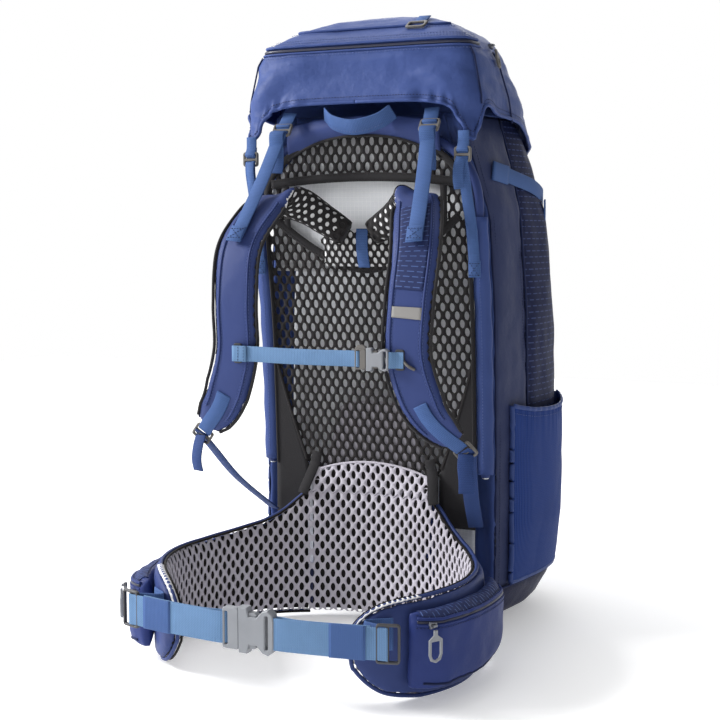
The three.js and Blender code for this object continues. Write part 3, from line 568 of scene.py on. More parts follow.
def perforated(name, centre_rows, surface, material, pitch, hole, keep=None, replaces=(),
               thickness=1.6):
    """A facing pierced by staggered oval holes, over the flat (s, t) millimetres that `surface`
    bends into place. pitch is (across, up), hole is (half width, half height)."""
    (s0, s1), (t0, t1) = centre_rows
    px, pz = pitch
    step = pz / 2
    peak, shoulder = step / 2 + px ** 2 / (8 * step), step / 2 - px ** 2 / (8 * step)
    corners = np.array([[px / 2, shoulder], [0, peak], [-px / 2, shoulder],
                        [-px / 2, -shoulder], [0, -peak], [px / 2, -shoulder]])
    rim = []
    for i in range(6):
        rim += [corners[i], (corners[i] + corners[(i + 1) % 6]) / 2]
    rim = np.array(rim)
    angle = np.arctan2(rim[:, 1] / pz, rim[:, 0] / px)
    oval = np.stack([hole[0] * np.cos(angle), hole[1] * np.sin(angle)], 1)
    known, flat, faces = {}, [], []

    def point(s, t):
        key = (round(s * 10 + 0.03), round(t * 10 + 0.03))
        if key not in known:
            known[key] = len(flat)
            flat.append((s, t))
        return known[key]

    row, t = 0, t0
    while t <= t1 + 1e-6:
        s = s0 + (px / 2 if row % 2 else 0)
        while s <= s1 + 1e-6:
            if keep is None or keep(s, t):
                outer = [point(s + a, t + b) for a, b in rim]
                inner = [point(s + a, t + b) for a, b in oval]
                for i in range(12):
                    j = (i + 1) % 12
                    face = [outer[i], outer[j], inner[j], inner[i]]
                    if len(set(face)) > 2:
                        faces.append(list(dict.fromkeys(face)))
            s += px
        row += 1
        t += step
    flat = np.array(flat)
    made = piece(name, surface(flat[:, 0], flat[:, 1]), faces, material, "pack", flat / 1000,
                 replaces)
    solid = made.modifiers.new("mesh thickness", "SOLIDIFY")
    solid.thickness, solid.offset, solid.use_even_offset = thickness / 1000, 0, False


def tree_of(obj):
    return BVHTree.FromObject(obj, bpy.context.evaluated_depsgraph_get())


def snapped(points, tree, lift):
    """Points moved on to a surface, `lift` millimetres above it."""
    out = []
    for p in in_frame(points):
        at, normal, _, _ = tree.find_nearest(Vector(p))
        out.append(at + normal * (lift / 1000))
    return to_layout([tuple(p) for p in out])


def apply_modifiers(obj):
    graph = bpy.context.evaluated_depsgraph_get()
    graph.update()
    baked = bpy.data.meshes.new_from_object(obj.evaluated_get(graph))
    old = obj.data
    obj.modifiers.clear()
    obj.data = baked
    bpy.data.meshes.remove(old)


STUFFING_PRESSURE, STUFFING_STEPS = 4.0, 16


def plump(obj, most, voxel):
    """Inflates a stuffed piece with cloth pressure, then caps how far each point moved."""
    remesh = obj.modifiers.new("voxel remesh", "REMESH")
    remesh.mode, remesh.voxel_size = "VOXEL", voxel / 1000
    apply_modifiers(obj)
    start = np.array([v.co for v in obj.data.vertices])
    cloth = obj.modifiers.new("stuffing", "CLOTH")
    cloth.settings.use_pressure = True
    cloth.settings.uniform_pressure_force = STUFFING_PRESSURE
    cloth.settings.effector_weights.gravity = 0
    cloth.settings.quality = 4
    cloth.collision_settings.use_collision = False
    cloth.collision_settings.use_self_collision = False
    cloth.point_cache.frame_start, cloth.point_cache.frame_end = 1, STUFFING_STEPS
    for step in range(1, STUFFING_STEPS + 1):
        bpy.context.scene.frame_set(step)
    graph = bpy.context.evaluated_depsgraph_get()
    done = np.array([v.co for v in obj.evaluated_get(graph).data.vertices])
    shift = done - start
    size = np.linalg.norm(shift, axis=1, keepdims=True)
    start += shift * np.minimum(1, most / 1000 / np.maximum(size, 1e-9))
    obj.modifiers.clear()
    obj.data.vertices.foreach_set("co", start.ravel())
    bpy.context.scene.frame_set(1)
    smooth = obj.modifiers.new("soften", "SMOOTH")
    smooth.iterations, smooth.factor = 4, 0.5
    apply_modifiers(obj)
    obj.modifiers.new("subdivision", "SUBSURF").levels = 1
    obj.modifiers["subdivision"].render_levels = 1
    obj.data.polygons.foreach_set("use_smooth", [True] * len(obj.data.polygons))


def stuffed(name, rings, material, node, most, voxel):
    """A closed pad over rings of points, plumped by at most `most` millimetres."""
    rows, cols = rings.shape[:2]
    pad = piece(name, rings.reshape(-1, 3), capped_faces(rows, cols), material,
                replaces=[node])
    bm = bmesh.new()
    bm.from_mesh(pad.data)
    bmesh.ops.recalc_face_normals(bm, faces=bm.faces)
    bm.to_mesh(pad.data)
    bm.free()
    plump(pad, most, voxel)
    return pad


def drift(points, size, seed=0.0):
    """Smooth noise, about -1 to 1, at layout points."""
    return np.array([
        noise.noise(Vector((p[0] / size + seed, p[1] / size - seed, p[2] / size + 2 * seed)))
        for p in np.asarray(points, float).reshape(-1, 3)
    ])


# ---------------------------------------------------------------- bag
WALL_HEIGHT = BAG_TOP - BASE_TOP
WIDTH_PROFILE = [[-1, 0.74], [-0.7, 0.9], [-0.2, 0.98], [0.05, 1], [0.3, 1], [0.6, 0.98], [0.8, 0.93],
                 [0.9, 0.86], [0.95, 0.815], [1, 0.775]]
FRONT_PROFILE = [[-1, 0.84], [-0.7, 0.92], [-0.2, 0.98], [0.2, 1], [0.5, 0.99], [0.7, 0.95],
                 [0.83, 0.89], [0.92, 0.81], [1, 0.71]]
REAR_PROFILE = [[-1, 22], [-0.5, 8], [0, 0], [0.78, 0], [0.9, -28], [1, -46]]
SECTION = [[0, 88], [0.45, 85], [0.75, 70], [0.865, 62], [0.95, 120], [1, 200], [0.96, 262],
           [0.8, 315], [0.45, 336], [0, 342]]
SECTION_FRONT, SECTION_FLARE, SECTION_COUNT = 342, 110, 18


def bag_section(z):
    """Control points of the bag's outline at a height."""
    s = (z - BASE_TOP) / (BASE_TOP if z < BASE_TOP else WALL_HEIGHT)
    half = BAG_HALF_WIDTH * along(WIDTH_PROFILE, s)
    front = BAG_FRONT * along(FRONT_PROFILE, s)
    stretch = (front - SECTION_FLARE) / (SECTION_FRONT - SECTION_FLARE)
    right = [
        (x * half, SECTION_FLARE + (y - SECTION_FLARE) * stretch if y > SECTION_FLARE
         else y + along(REAR_PROFILE, s)) for x, y in SECTION
    ]
    return np.array(right + [(-x, y) for x, y in right[-2:0:-1]])


def bag_points(ks, z, out=0.0):
    """Points of the outline at one height: k counts control points from the back's middle."""
    ks = np.asarray(ks, float) % SECTION_COUNT
    control = bag_section(z)
    i = np.floor(ks).astype(int)
    t = (ks - i)[:, None]
    p0, p1, p2, p3 = (control[(i + d) % SECTION_COUNT] for d in (-1, 0, 1, 2))
    m1, m2 = 0.4 * (p2 - p0), 0.4 * (p3 - p1)
    xy = ((2 * t ** 3 - 3 * t ** 2 + 1) * p1 + (t ** 3 - 2 * t ** 2 + t) * m1
          + (3 * t ** 2 - 2 * t ** 3) * p2 + (t ** 3 - t ** 2) * m2)
    slope = unit((6 * t ** 2 - 6 * t) * p1 + (3 * t ** 2 - 4 * t + 1) * m1
                 + (6 * t - 6 * t ** 2) * p2 + (3 * t ** 2 - 2 * t) * m2)
    xy = xy + np.stack([slope[:, 1], -slope[:, 0]], 1) * np.reshape(out, (-1, 1))
    return np.column_stack([xy, np.full(len(xy), float(z))])


def bag_grid(k0, k1, z0, z1, cols, rows, puff=3.0, seed=0.0, crease=1.0, dip=2.5):
    """A sewn panel: full in its middle, pulled in at its seams, with soft folds."""
    ks, zs = np.linspace(k0, k1, cols), np.linspace(z0, z1, rows)
    edge_k = np.minimum(ks - k0, k1 - ks) / (k1 - k0) * 2
    grid = np.zeros((rows, cols, 3))
    for r, z in enumerate(zs):
        base = bag_points(ks, z)
        edge_z = min(z - z0, z1 - z) / (z1 - z0) * 2
        inner = np.clip(np.minimum(edge_k * 5, edge_z * 9), 0, 1) ** 0.5
        folds = drift(base * [1, 1, 0.35], 55, seed) * 3.0 + drift(base * [1.6, 1.6, 1], 38, seed + 7) * 1.6
        pucker = np.sin(z / 7.5 + 3 * drift(base, 60, seed + 3)) * 0.9 * np.exp(-edge_k * 9)
        out = -dip * (1 - inner) + inner * (puff * np.sin(np.pi * edge_k / 2) + crease * folds) + pucker
        grid[r] = bag_points(ks, z, out)
    return grid


def seam_tube(name, k, z1, radius, lift):
    """Piping up a seam of the bag, from the base to `z1`."""
    route = [bag_points([k], z, lift)[0] for z in np.linspace(BASE_TOP + 2, z1, 24)]
    tube(name, route, radius, "dark_thread", count=70)


def build_bag():
    # back: a pale lining behind the mesh, between two blue margins
    back = bag_grid(-3, 3, BASE_TOP, BAG_TOP, 60, 80, puff=0, crease=0.5, dip=0)
    cloth_sheet("bag_back_lining", back[:72, 12:48], "lining", replaces=["back_panel"])
    cloth_sheet("bag_back_crown", back[71:, 12:48], "shell")
    for side, cols in (("left", back[:, 47:]), ("right", back[:, :13])):
        cloth_sheet(f"bag_back_margin_{side}", cols, "shell")

    for side, sign in SIDES:
        spans = {
            "side_strip": (3.0, 4.25, "strip", 1.5), "side_dashed": (4.25, 6.5, "dashed", 3.0),
        }
        for label, (k0, k1, finish, puff) in spans.items():
            lo, hi = (k0, k1) if sign > 0 else (-k1, -k0)
            grid = bag_grid(lo, hi, BASE_TOP, BAG_TOP, 46, 120, puff, seed=sign * 3.1 + k0)
            cloth_sheet(f"bag_{label}_{side}", grid, finish,
                        replaces=[f"side_panel_{side}"])
        for k in (3.0, 4.25, 6.5):
            seam_tube(f"bag_seam_{side}_{k:g}".replace(".", "_"), sign * k, BAG_TOP - 3, 1.5, 0.2)
        stitches(f"bag_seam_stitches_{side}", [
            [bag_points([sign * k], z, 0.3)[0] for z in np.linspace(BASE_TOP + 8, BAG_TOP - 20, 30)]
            for k in (3.2, 4.1, 4.38, 6.35)
        ], "dark_thread")

    front = bag_grid(6.5, 11.5, BASE_TOP, BAG_TOP, 110, 120, puff=6, seed=9.4, crease=1.3)
    cloth_sheet("bag_front", front, "shell", replaces=["front_panel"])
    for label, k in (("left", 7.6), ("right", 10.4)):
        seam_tube(f"bag_front_seam_{label}", k, BAG_TOP - 12, 1.4, 5.0)

    tray = np.array([
        bag_points(np.linspace(0, SECTION_COUNT, 145)[:-1], max(z, 0.0),
                   -0.6 - 5 * max(0, 1 - z / 12) ** 2 - (1.5 if z > BASE_TOP - 3 else 0))
        for z in [0.6, 0.9, 2, 4, 7, 11, 16, 22, 28, 34, 40, 46, 51, 55, 58, BASE_TOP]
    ])
    floor_rings = [tray[0] * [s, s, 1] + [0, 150 * (1 - s), 0] for s in (0.02, 0.3, 0.6, 0.85)]
    tray = np.concatenate([np.array(floor_rings), tray])
    ripple = drift(tray.reshape(-1, 3), 45, 2.2).reshape(tray.shape[:2])
    tray[5:-1, :, :2] += unit(tray[5:-1, :, :2] - [0, 190]) * ripple[5:-1, :, None] * 1.6
    cloth_sheet("bag_base", tray, "base", replaces=["base_tray"], wrap=True)
    hem = bag_points(np.linspace(0, SECTION_COUNT, 121)[:-1], BASE_TOP, 0.3)
    tube("bag_base_piping", np.vstack([hem, hem[:1]]), 1.9, "dark_thread", count=200)

    # drawcord collar, gathered towards its mouth
    around = np.linspace(0, SECTION_COUNT, 289)[:-1]
    low, high = box("collar")[0][2], box("collar")[1][2]
    rings = []
    for t in np.linspace(0, 1, 16):
        z = low + (high - low) * t
        pinch = along([[0, 1], [0.5, 0.9], [1, 0.74]], t)
        base = bag_points(around, BAG_TOP, -2)
        gather = np.sin(around * 2 * math.pi * 2.6) * 2.2 * t
        ring = np.column_stack([base[:, 0] * pinch, 145 + (base[:, 1] - 145) * pinch, np.full(288, z)])
        outward = unit(ring[:, :2] - [0, 145])
        ring[:, :2] += outward * gather[:, None]
        rings.append(ring)
    cloth_sheet("bag_collar", np.array(rings), "shell", replaces=["collar"], wrap=True)
    mouth = rings[-1] * [0.99, 1, 1] + [0, 1, -3]
    tube("collar_drawcord_channel", np.vstack([mouth, mouth[:1]]), 2.6, "shell", count=220)


def stretch_pocket(name, k0, k1, low, high, bulge, scoop, node):
    cols, rows = 90, 50
    us, vs = np.linspace(0, 1, cols), np.linspace(0, 1, rows)
    ks = k0 + (k1 - k0) * us
    grid = np.zeros((rows, cols, 3))
    for r, v in enumerate(vs):
        top = high - scoop * np.sin(np.pi * us) ** 0.8
        for c in range(cols):
            z = low + (top[c] - low) * v
            lift = 6.0 + bulge * math.sin(math.pi * us[c]) ** 0.6 * min(1, 3.0 * v)
            gather = 0.8 * math.sin(us[c] * 95) * max(0, v - 0.8) * 5
            grid[r, c] = bag_points([ks[c]], z, lift + gather * 0.7)[0]
    outward = unit((grid - [0, 150, 0]) * [1, 1, 0])
    grid += outward * np.abs(drift(grid, 60, 5.5).reshape(rows, cols, 1)) * 2.2
    for label, line in (("foot", grid[0]), ("front", grid[:, 0]), ("rear", grid[:, -1])):
        tube(f"{name}_{label}_seam", line - unit((line - [0, 150, 0]) * [1, 1, 0]) * 2.5, 4.0, "shell",
             count=80, flat=0.8)
    cloth = cloth_sheet(name, grid, "stretch", replaces=[node])
    run = lambda line: np.linalg.norm(np.diff(line, axis=0), axis=1).sum() / 1000
    width = np.mean([run(row) for row in grid])
    length = np.mean([run(grid[:, c]) for c in range(cols)])
    tube(name + "_hem", grid[-1], 3.2, "shell", count=90, flat=0.55)
    stitches(name + "_hem_stitches", [grid[-3] + unit(grid[-3] - [0, 150, grid[-3][0][2]]) * 0.9])
    return grid


def build_pockets():
    for side, sign in SIDES:
        k = (3.55, 6.3) if sign > 0 else (-6.3, -3.55)
        stretch_pocket(f"side_stretch_pocket_{side}", *k, 66, 310, 10, 12, f"side_pocket_{side}")
    stretch_pocket("front_stretch_pocket", 7.1, 10.9, 110, 430, 16, 8, "front_pocket")


# ---------------------------------------------------------------- suspended back
MESH_Y = [[FRAME_FOOT, 46], [300, 42], [400, 36], [BAG_TOP - 248, 30], [BAG_TOP - 188, 20],
          [BAG_TOP - 144, 14], [BAG_TOP - 100, 11], [BAG_TOP - 23, 9]]


def frame_half(z):
    rise = np.clip((np.asarray(z, float) - FRAME_SHOULDER) / (FRAME_CROWN - FRAME_SHOULDER), 0, 1)
    return FRAME_HALF_WIDTH * np.sqrt(1 - rise ** 2.6)


def mesh_half(z):
    return np.clip(frame_half(np.asarray(z) + 8) - 10, 30, MESH_HALF_WIDTH)


WINDOW_HALF = 116  # the harness comes through the mesh here


def window_foot(x):
    return BAG_TOP - 206 + 74 * (np.abs(x) / 140) ** 1.7


def window_crown(x):
    return BAG_TOP - 82 - 9 * (np.abs(x) / 140) ** 2


def in_window(x, z):
    return abs(x) < WINDOW_HALF and window_foot(x) < z < window_crown(x)


def build_back():
    top = FRAME_CROWN - 8

    def surface(x, z):
        z = np.clip(z, FRAME_FOOT, top)
        half = mesh_half(z)
        return np.column_stack([np.clip(x, -half, half), along(MESH_Y, z), z])

    perforated("suspended_back_mesh", ((-156, 156), (FRAME_FOOT, top)), surface, "charcoal",
               (13.5, 22.0), (3.7, 6.2), thickness=2.0,
               keep=lambda x, z: abs(x) < mesh_half(z) + 2 and not in_window(x, z),
               replaces=["back_mesh"])
    edge_z = np.concatenate([np.linspace(FRAME_FOOT + 2, FRAME_SHOULDER, 14),
                             FRAME_SHOULDER + (top - FRAME_SHOULDER) * np.sin(np.linspace(0.15, 1.45, 12))])
    right = np.column_stack([mesh_half(edge_z), along(MESH_Y, edge_z) - 0.5, edge_z])
    outline = np.vstack([right, right[::-1] * [-1, 1, 1]])
    tube("back_mesh_edge_binding", outline, 5.0, "binding", count=180, flat=0.5)

    arch = []
    for z in np.linspace(BAG_TOP - 210, top - 3, 30):
        half = mesh_half(z) - 4
        x = np.linspace(-half, half, 40)
        arch.append(np.column_stack([x, np.full(40, along(MESH_Y, z) + 9.5), np.full(40, z)]))
    cloth_sheet("crown_lining", np.array(arch), "lining", thickness=0.8)

    # wide dark bindings above and below the window
    bindings = (("window_crown_binding", window_crown, 12), ("window_foot_binding", window_foot, 11))
    for name, height, width in bindings:
        x = np.linspace(-138, 138, 21)
        z = height(x)
        path = np.column_stack([x, along(MESH_Y, z) - 2.6, z])
        band(name, path, width, (0, 0, 1), "binding", thickness=2.8, count=70)
        stitches(name + "_stitches", [path + [0, -1.7, s * (width / 2 - 2)] for s in (-1, 1)], "backing")
    for side, sign in SIDES:
        z = np.linspace(window_foot(WINDOW_HALF) - 4, window_crown(WINDOW_HALF) + 4, 10)
        path = np.column_stack([np.full(10, sign * WINDOW_HALF), along(MESH_Y, z) - 2.2, z])
        band(f"window_side_binding_{side}", path, 9, (1, 0, 0), "binding",
             thickness=2.6, count=30)

    crown_z = FRAME_SHOULDER + (FRAME_CROWN - FRAME_SHOULDER) * np.sin(np.linspace(0.12, 1.5, 14))
    hoop_z = np.concatenate([np.linspace(FRAME_FOOT + 2, FRAME_SHOULDER, 12), crown_z])
    half_hoop = np.column_stack([frame_half(hoop_z), along(MESH_Y, hoop_z) + 6, hoop_z])
    hoop = np.vstack([half_hoop, half_hoop[::-1] * [-1, 1, 1]])
    tube("hoop_sleeve", hoop, 6.6, "strap", count=160)

    for side, sign in SIDES:
        z = np.linspace(FRAME_FOOT + 6, FRAME_SHOULDER - 6, 40)
        a = np.linspace(0, 2 * math.pi, 25)[:-1]
        ripple = 1 + 0.05 * np.sin(z / 9)[:, None]
        grid = np.stack([
            sign * (FRAME_HALF_WIDTH + 11.6 * np.cos(a)[None] * ripple),
            (along(MESH_Y, z) + 6)[:, None] + 8.6 * np.sin(a)[None] * ripple,
            np.broadcast_to(z[:, None], (40, 24)),
        ], -1)
        cloth_sheet(f"frame_sleeve_cover_{side}", grid, "shell", wrap=True,
                    replaces=[f"frame_sleeve_{side}"], flip=sign < 0)
        stitches(f"frame_sleeve_stitches_{side}", [grid[2:-2, 18], grid[2:-2, 15 if sign > 0 else 21]])
        # solid charcoal corner that joins the mesh to the belt
        corner_z = np.linspace(FRAME_FOOT - 70, FRAME_FOOT + 160, 30)
        inner = 149 - 50 * np.clip(1 - (corner_z - FRAME_FOOT) / 165, 0, 1) ** 1.2
        corner = np.stack([
            np.column_stack([sign * (inner + (151 - inner) * u), along(MESH_Y, corner_z) - 2.2, corner_z])
            for u in np.linspace(0, 1, 8)
        ], 1)
        cloth_sheet(f"back_corner_{side}", corner, "binding",
                    flip=sign > 0, thickness=1.2)
        tube(f"back_corner_strip_{side}", corner[10:, 0] + [0, -1, 0], 2.2, "charcoal", count=40, flat=0.4)


# ---------------------------------------------------------------- lid
LID_REAR = [[-60, -20], [-20, -18], [22, -14], [71, -8], [95, -2], [108, 18], [122, 42], [132, 62],
            [137, 80]]
LID_FRONT = [[-60, 0.912], [-20, 0.842], [22, 0.749], [71, 0.623], [95, 0.556], [108, 0.503],
             [122, 0.439], [132, 0.38], [137, 0.322]]
LID_HALF = [[-60, 0.885], [-20, 0.88], [22, 0.865], [71, 0.81], [95, 0.74], [108, 0.66], [122, 0.525],
            [132, 0.375], [137, 0.2]]
LID_HEM = [[0, 16], [22, 6], [40, -38], [52, -36], [66, 2], [76, 10], [100, -14], [125, -42],
           [150, -54], [180, -60]]
LID_ZIP_RISE = 90


def lid_points(angles, rise, inset=0.0):
    """Points round the lid, angle 0 at the rear middle; rise is above the bag's top seam."""
    angles = np.asarray(angles, float)
    rise = np.broadcast_to(np.asarray(rise, float), angles.shape)
    rear = along(LID_REAR, rise) + inset
    front = BAG_FRONT * along(LID_FRONT, rise) - inset
    half = BAG_HALF_WIDTH * along(LID_HALF, rise) - inset
    widest = rear + (front - rear) * 0.42
    sine, cosine = np.sin(np.radians(angles)), np.cos(np.radians(angles))
    corner = np.where(cosine > 0, 0.25 + 0.12 * np.clip(1 - cosine * 3, 0, 1), 0.62)
    reach = np.where(cosine > 0, widest - rear, front - widest)
    soft = lambda v: np.sign(v) * np.abs(v) ** corner
    return np.column_stack([half * soft(sine), widest - reach * soft(cosine), BAG_TOP + rise])


def lid_hem(angles):
    folded = np.where(np.asarray(angles) % 360 > 180, 360 - np.asarray(angles) % 360,
                      np.asarray(angles) % 360)
    table = np.array(LID_HEM, float)
    smooth = np.array([along(LID_HEM, folded + d) for d in (-5, -2.5, 0, 2.5, 5)]).mean(0)
    return np.minimum(smooth, table[:, 1].max())


def spread_angles(count):
    """Angles that give the square rear corners enough points."""
    t = np.linspace(0, 2 * math.pi, count + 1)[:-1]
    return np.degrees(t - 0.26 * np.sin(2 * t))


def build_lid():
    count = 240
    angles = spread_angles(count)
    hem = lid_hem(angles)
    shares = np.concatenate([np.linspace(0, 0.2, 14)[:-1], np.linspace(0.2, 1, 46)])
    rings = [lid_points(angles, LID_RISE + (hem - LID_RISE) * s) for s in shares]
    cap = rings[0]
    middle = cap.mean(0) + [0, 0, 1.5]
    rings = [middle + (cap - middle) * s for s in (0.02, 0.35, 0.7)] + rings
    grid = np.array(rings)
    rows = len(rings)
    share = np.concatenate([[0, 0, 0], shares])[:, None]
    centre = np.array([0, 120, BAG_TOP + 40])
    outward = unit((grid - centre) * [1, 1, 0.5])
    # slanting folds over the rear, small gathers at the hem, a soft sag on the flanks
    slant = grid[..., 0] * np.sign(grid[..., 0]) * 0.5 + grid[..., 2] * 0.9
    warp = drift(grid, 70, 4.0).reshape(rows, count) * 22
    fold = np.sin((slant + warp) / 9.5) * np.clip(drift(grid, 95, 1.0).reshape(rows, count) + 0.35, 0, 1)
    soft = drift(grid, 60, 8.0).reshape(rows, count) * 3.2
    fine = drift(grid * [1, 1, 2.2], 24, 5.0).reshape(rows, count) * 1.3
    rear = np.clip(np.cos(np.radians(angles)) * 2, 0, 1)[None]
    skirt = np.clip((share - 0.12) * 5, 0, 1)
    gather = (np.sin(np.arange(count)[None] * 2 * math.pi / 7.5 + warp / 12) * 1.5
              * np.clip((share - 0.86) / 0.14, 0, 1) * rear)
    zip_share = np.abs(grid[..., 2] - BAG_TOP - LID_ZIP_RISE)
    calm = np.clip(zip_share / 16, 0.1, 1)
    push = (fold * 4.2 * skirt + soft * 1.3 * skirt + fine * 1.3) * calm + gather * 1.5 - 1.2
    push[:3] *= 0.3
    grid = grid + outward * push[..., None]
    grid[..., 2] = np.minimum(grid[..., 2], LID_TOP + 6)
    cloth_sheet("lid_shell", grid, "lid", "lid_body", ["lid"], wrap=True, flip=True,
                thickness=2.2)
    hem_line = grid[-1]
    tube("lid_hem_binding", np.vstack([hem_line, hem_line[:1]]), 2.6, "lid", "lid_body",
         count=360)
    inner = grid[-4] + unit(grid[-4] - [0, 120, grid[-4][:, 2].mean()]) * 0.9
    stitches("lid_hem_stitches", [np.vstack([inner, inner[:1]])], "dark_thread", "lid_body")

    # the pocket's zip runs round the rear, under a piped double-stitched cover
    run = np.linspace(-84, 84, 60)
    on = lambda rise, out: lid_points(run, rise, -out)
    tube("lid_zip_cover_piping", on(LID_ZIP_RISE + 3.5, 1.2), 2.1, "lid", "lid_body", 160)
    tube("lid_zip_coil", on(LID_ZIP_RISE - 2.0, 0.6), 1.9, "coil", "lid_body", 160, flat=0.6)
    tube("lid_zip_lower_edge", on(LID_ZIP_RISE - 6.0, 0.6), 1.3, "lid", "lid_body", 160, flat=0.6)
    stitches("lid_zip_stitches", [on(LID_ZIP_RISE + 8, 1.0), on(LID_ZIP_RISE + 12, 0.8),
                                  on(LID_ZIP_RISE - 10, 0.9)], "thread", "lid_body")
    # raised front flap of the lid pocket, seen as a ridge along the crown
    ridge = lid_points(np.linspace(-62, 62, 40), LID_RISE - 20, -0.5)
    tube("lid_crown_piping", ridge, 2.2, "lid", "lid_body", 120)
    stitches("lid_crown_stitches", [lid_points(np.linspace(-62, 62, 40), LID_RISE - 24, -1.0)], "thread",
             "lid_body")
    for side, sign in SIDES:
        for label, angle, foot in (("side", 90, -10), ("corner", 62, 8)):
            rises = np.linspace(foot, LID_ZIP_RISE - 8, 14)
            line = np.array([lid_points([sign * angle], r, -0.6)[0] for r in rises])
            tube(f"lid_{label}_seam_{side}", line, 1.2, "dark_thread", "lid_body", 50)
    middle, high = place_of("lid_ring"), box("lid_ring")[1]
    band("lid_ring_tab", [[middle[0], high[1] - BACK_PLANE + 22, high[2] + 9],
                          [middle[0], high[1] - BACK_PLANE + 4, high[2] - 0.5],
                          [middle[0], high[1] - BACK_PLANE + 1.0, high[2] - 1.8]],
         17, (1, 0, 0), "mid_web", "lid_body", count=14)


def build_lid_straps():
    for side, sign in SIDES:
        x, y, z = place_of(f"lid_lock_{side}")
        foot = box(f"lid_strap_{side}")[0][2]
        points = [[x, y - 1.5, z + 6], [x, y + 1.8, z], [x, y - 1.6, z - 7], [x + sign, y + 1, z - 22],
                  [x + sign * 2, y + 11, z - 52], [x + sign * 4, y + 24, z - 96],
                  [x + sign * 5, y + 36, foot + 4]]
        band(f"lid_strap_web_{side}", points, 15, (1, 0, 0), "mid_web",
             replaces=[f"lid_strap_{side}"], count=70)
        fold = [[x + sign * 4.8, y + 33.4, foot + 24], [x + sign * 5, y + 33.6, foot + 2]]
        band(f"lid_strap_fold_{side}", fold, 16.5, (1, 0, 0), "mid_web",
             thickness=3, count=6)
        stitches(f"lid_strap_tacks_{side}", [
            [[x + sign * 5 + a, y + 31.4, foot + b] for a, b in line]
            for line in (((-6, 5), (6, 5)), ((-6, 20), (6, 20)), ((-6, 5), (6, 20)), ((6, 5), (-6, 20)))
        ], "dark_thread", pitch=3, length=2.2)
        # sewn tab that holds the lock from above, with its hanging end
        tab = band(f"lid_strap_tab_{side}", [[x, y + 2.5, z + 30], [x, y + 2, z + 15], [x, y - 2.8, z + 6],
                                             [x, y + 1.8, z + 4.2], [x, y + 3.6, z + 16]], 15, (1, 0, 0),
                   "mid_web", None, count=26)
        joined(tab, (x, y, z + 6), (x, y, z + 28))
        route = [[x - sign, y - 3, z - 4], [x - sign * 3, y - 7, z - 16], [x - sign * 4, y - 6, z - 32],
                 [x - sign * 3, y - 3.4, z - 44]]
        tail = band(f"lid_strap_tail_{side}", route, 13, (1, 0.25 * sign, 0), "mid_web", None,
                    count=24)
        joined(tail, (x, y, z - 30), (x, y, z - 6))


# ---------------------------------------------------------------- haul loop
def build_haul_loop():
    top = box("haul_loop")[1][2] - 2
    points = [[-50, -5, top - 1], [-32, -14, top - 14], [0, -20, top - 21], [32, -14, top - 14],
              [50, -5, top - 1]]
    band("haul_loop_web", points, 22, (0, -0.5, 1), "mid_web", "haul_loop_body",
         ["haul_loop"], count=60, thickness=2.2)
    stitches("haul_loop_stitches", [
        spline(points, 40)[6:-6] + [0, -1.2, s * 6.5] for s in (-1, 1)
    ], "thread", "haul_loop_body")
    # the yoke of fabric that the loop is sewn to, over the crown of the frame
    rows = []
    for v in np.linspace(0, 1, 14):
        z = BAG_TOP - 2 - v * 26
        x = np.linspace(-112, 112, 60)
        y = 2.5 + 6 * (x / 112) ** 2 - 5.0 * math.sin(math.pi * min(1, v * 1.1))
        droop = 30 * (np.abs(x) / 112) ** 2.4
        rows.append(np.column_stack([x, y, z - droop * (0.35 + 0.65 * v)]))
    cloth_sheet("crown_fabric_band", np.array(rows)[::-1], "strap", thickness=1.4)
    tube("crown_band_piping", rows[-1] + [0, -0.8, 0], 1.8, "binding", count=80)


# ---------------------------------------------------------------- shoulder harness
def strap_line(sign):
    """Middle line of a shoulder strap, from the yoke over the shoulder to its foot."""
    height = lambda f: STRAP_FOOT + (STRAP_APEX - STRAP_FOOT) * f
    face = along(MESH_Y, STRAP_APEX - 46) - 1.5
    return np.array([
        [sign * 18, face - 17, STRAP_APEX - 52], [sign * 48, face - 21, STRAP_APEX - 34],
        [sign * 78, -20, STRAP_APEX - 14], [sign * 101, -46, STRAP_APEX - 8],
        [sign * 116, -80, height(0.88)], [sign * 125, -106, height(0.75)],
        [sign * 123, -119, height(0.54)], [sign * 122, -120, height(0.33)],
        [sign * 143, -114, height(0.13)], [sign * 178, -101, height(0)],
    ])


STRAP_WIDTHS = [[0, 34], [0.12, 42], [0.3, 68], [0.85, 66], [0.95, 52], [1, 34]]


def strap_half_depth(t):
    """Half the pad's thickness: a fat roll over the shoulder, then flat."""
    return along([[0, 9.0], [0.05, 13.0], [0.19, 13.5], [0.29, 7.0], [0.95, 6.2], [1, 4.0]], t)


def strap_frames(sign, count):
    """Path, across, up (towards the wearer's front) and width along a strap."""
    path = spline(strap_line(sign), count)
    t = np.linspace(0, 1, count)
    turn = np.minimum(1, t / 0.26) * math.pi / 2
    side = np.column_stack([sign * np.sin(turn), 0 * t, -np.cos(turn)])
    across, up = frames(path, side)
    return path, across, up * sign, along(STRAP_WIDTHS, t)


def strap_surface(sign, t, across_share, lift):
    """Layout points on a strap: t along it, -1 to 1 across it, lift from its middle surface."""
    count = 200
    path, across, up, width = strap_frames(sign, count)
    at = np.clip(np.asarray(t, float), 0, 1) * (count - 1)
    pick = lambda table: np.stack([np.interp(at, np.arange(count), table[:, k]) for k in range(3)], -1)
    half = np.interp(at, np.arange(count), width) / 2
    return (pick(path) + pick(across) * (np.asarray(across_share) * half)[:, None]
            + pick(up) * np.broadcast_to(np.asarray(lift, float), at.shape)[:, None])


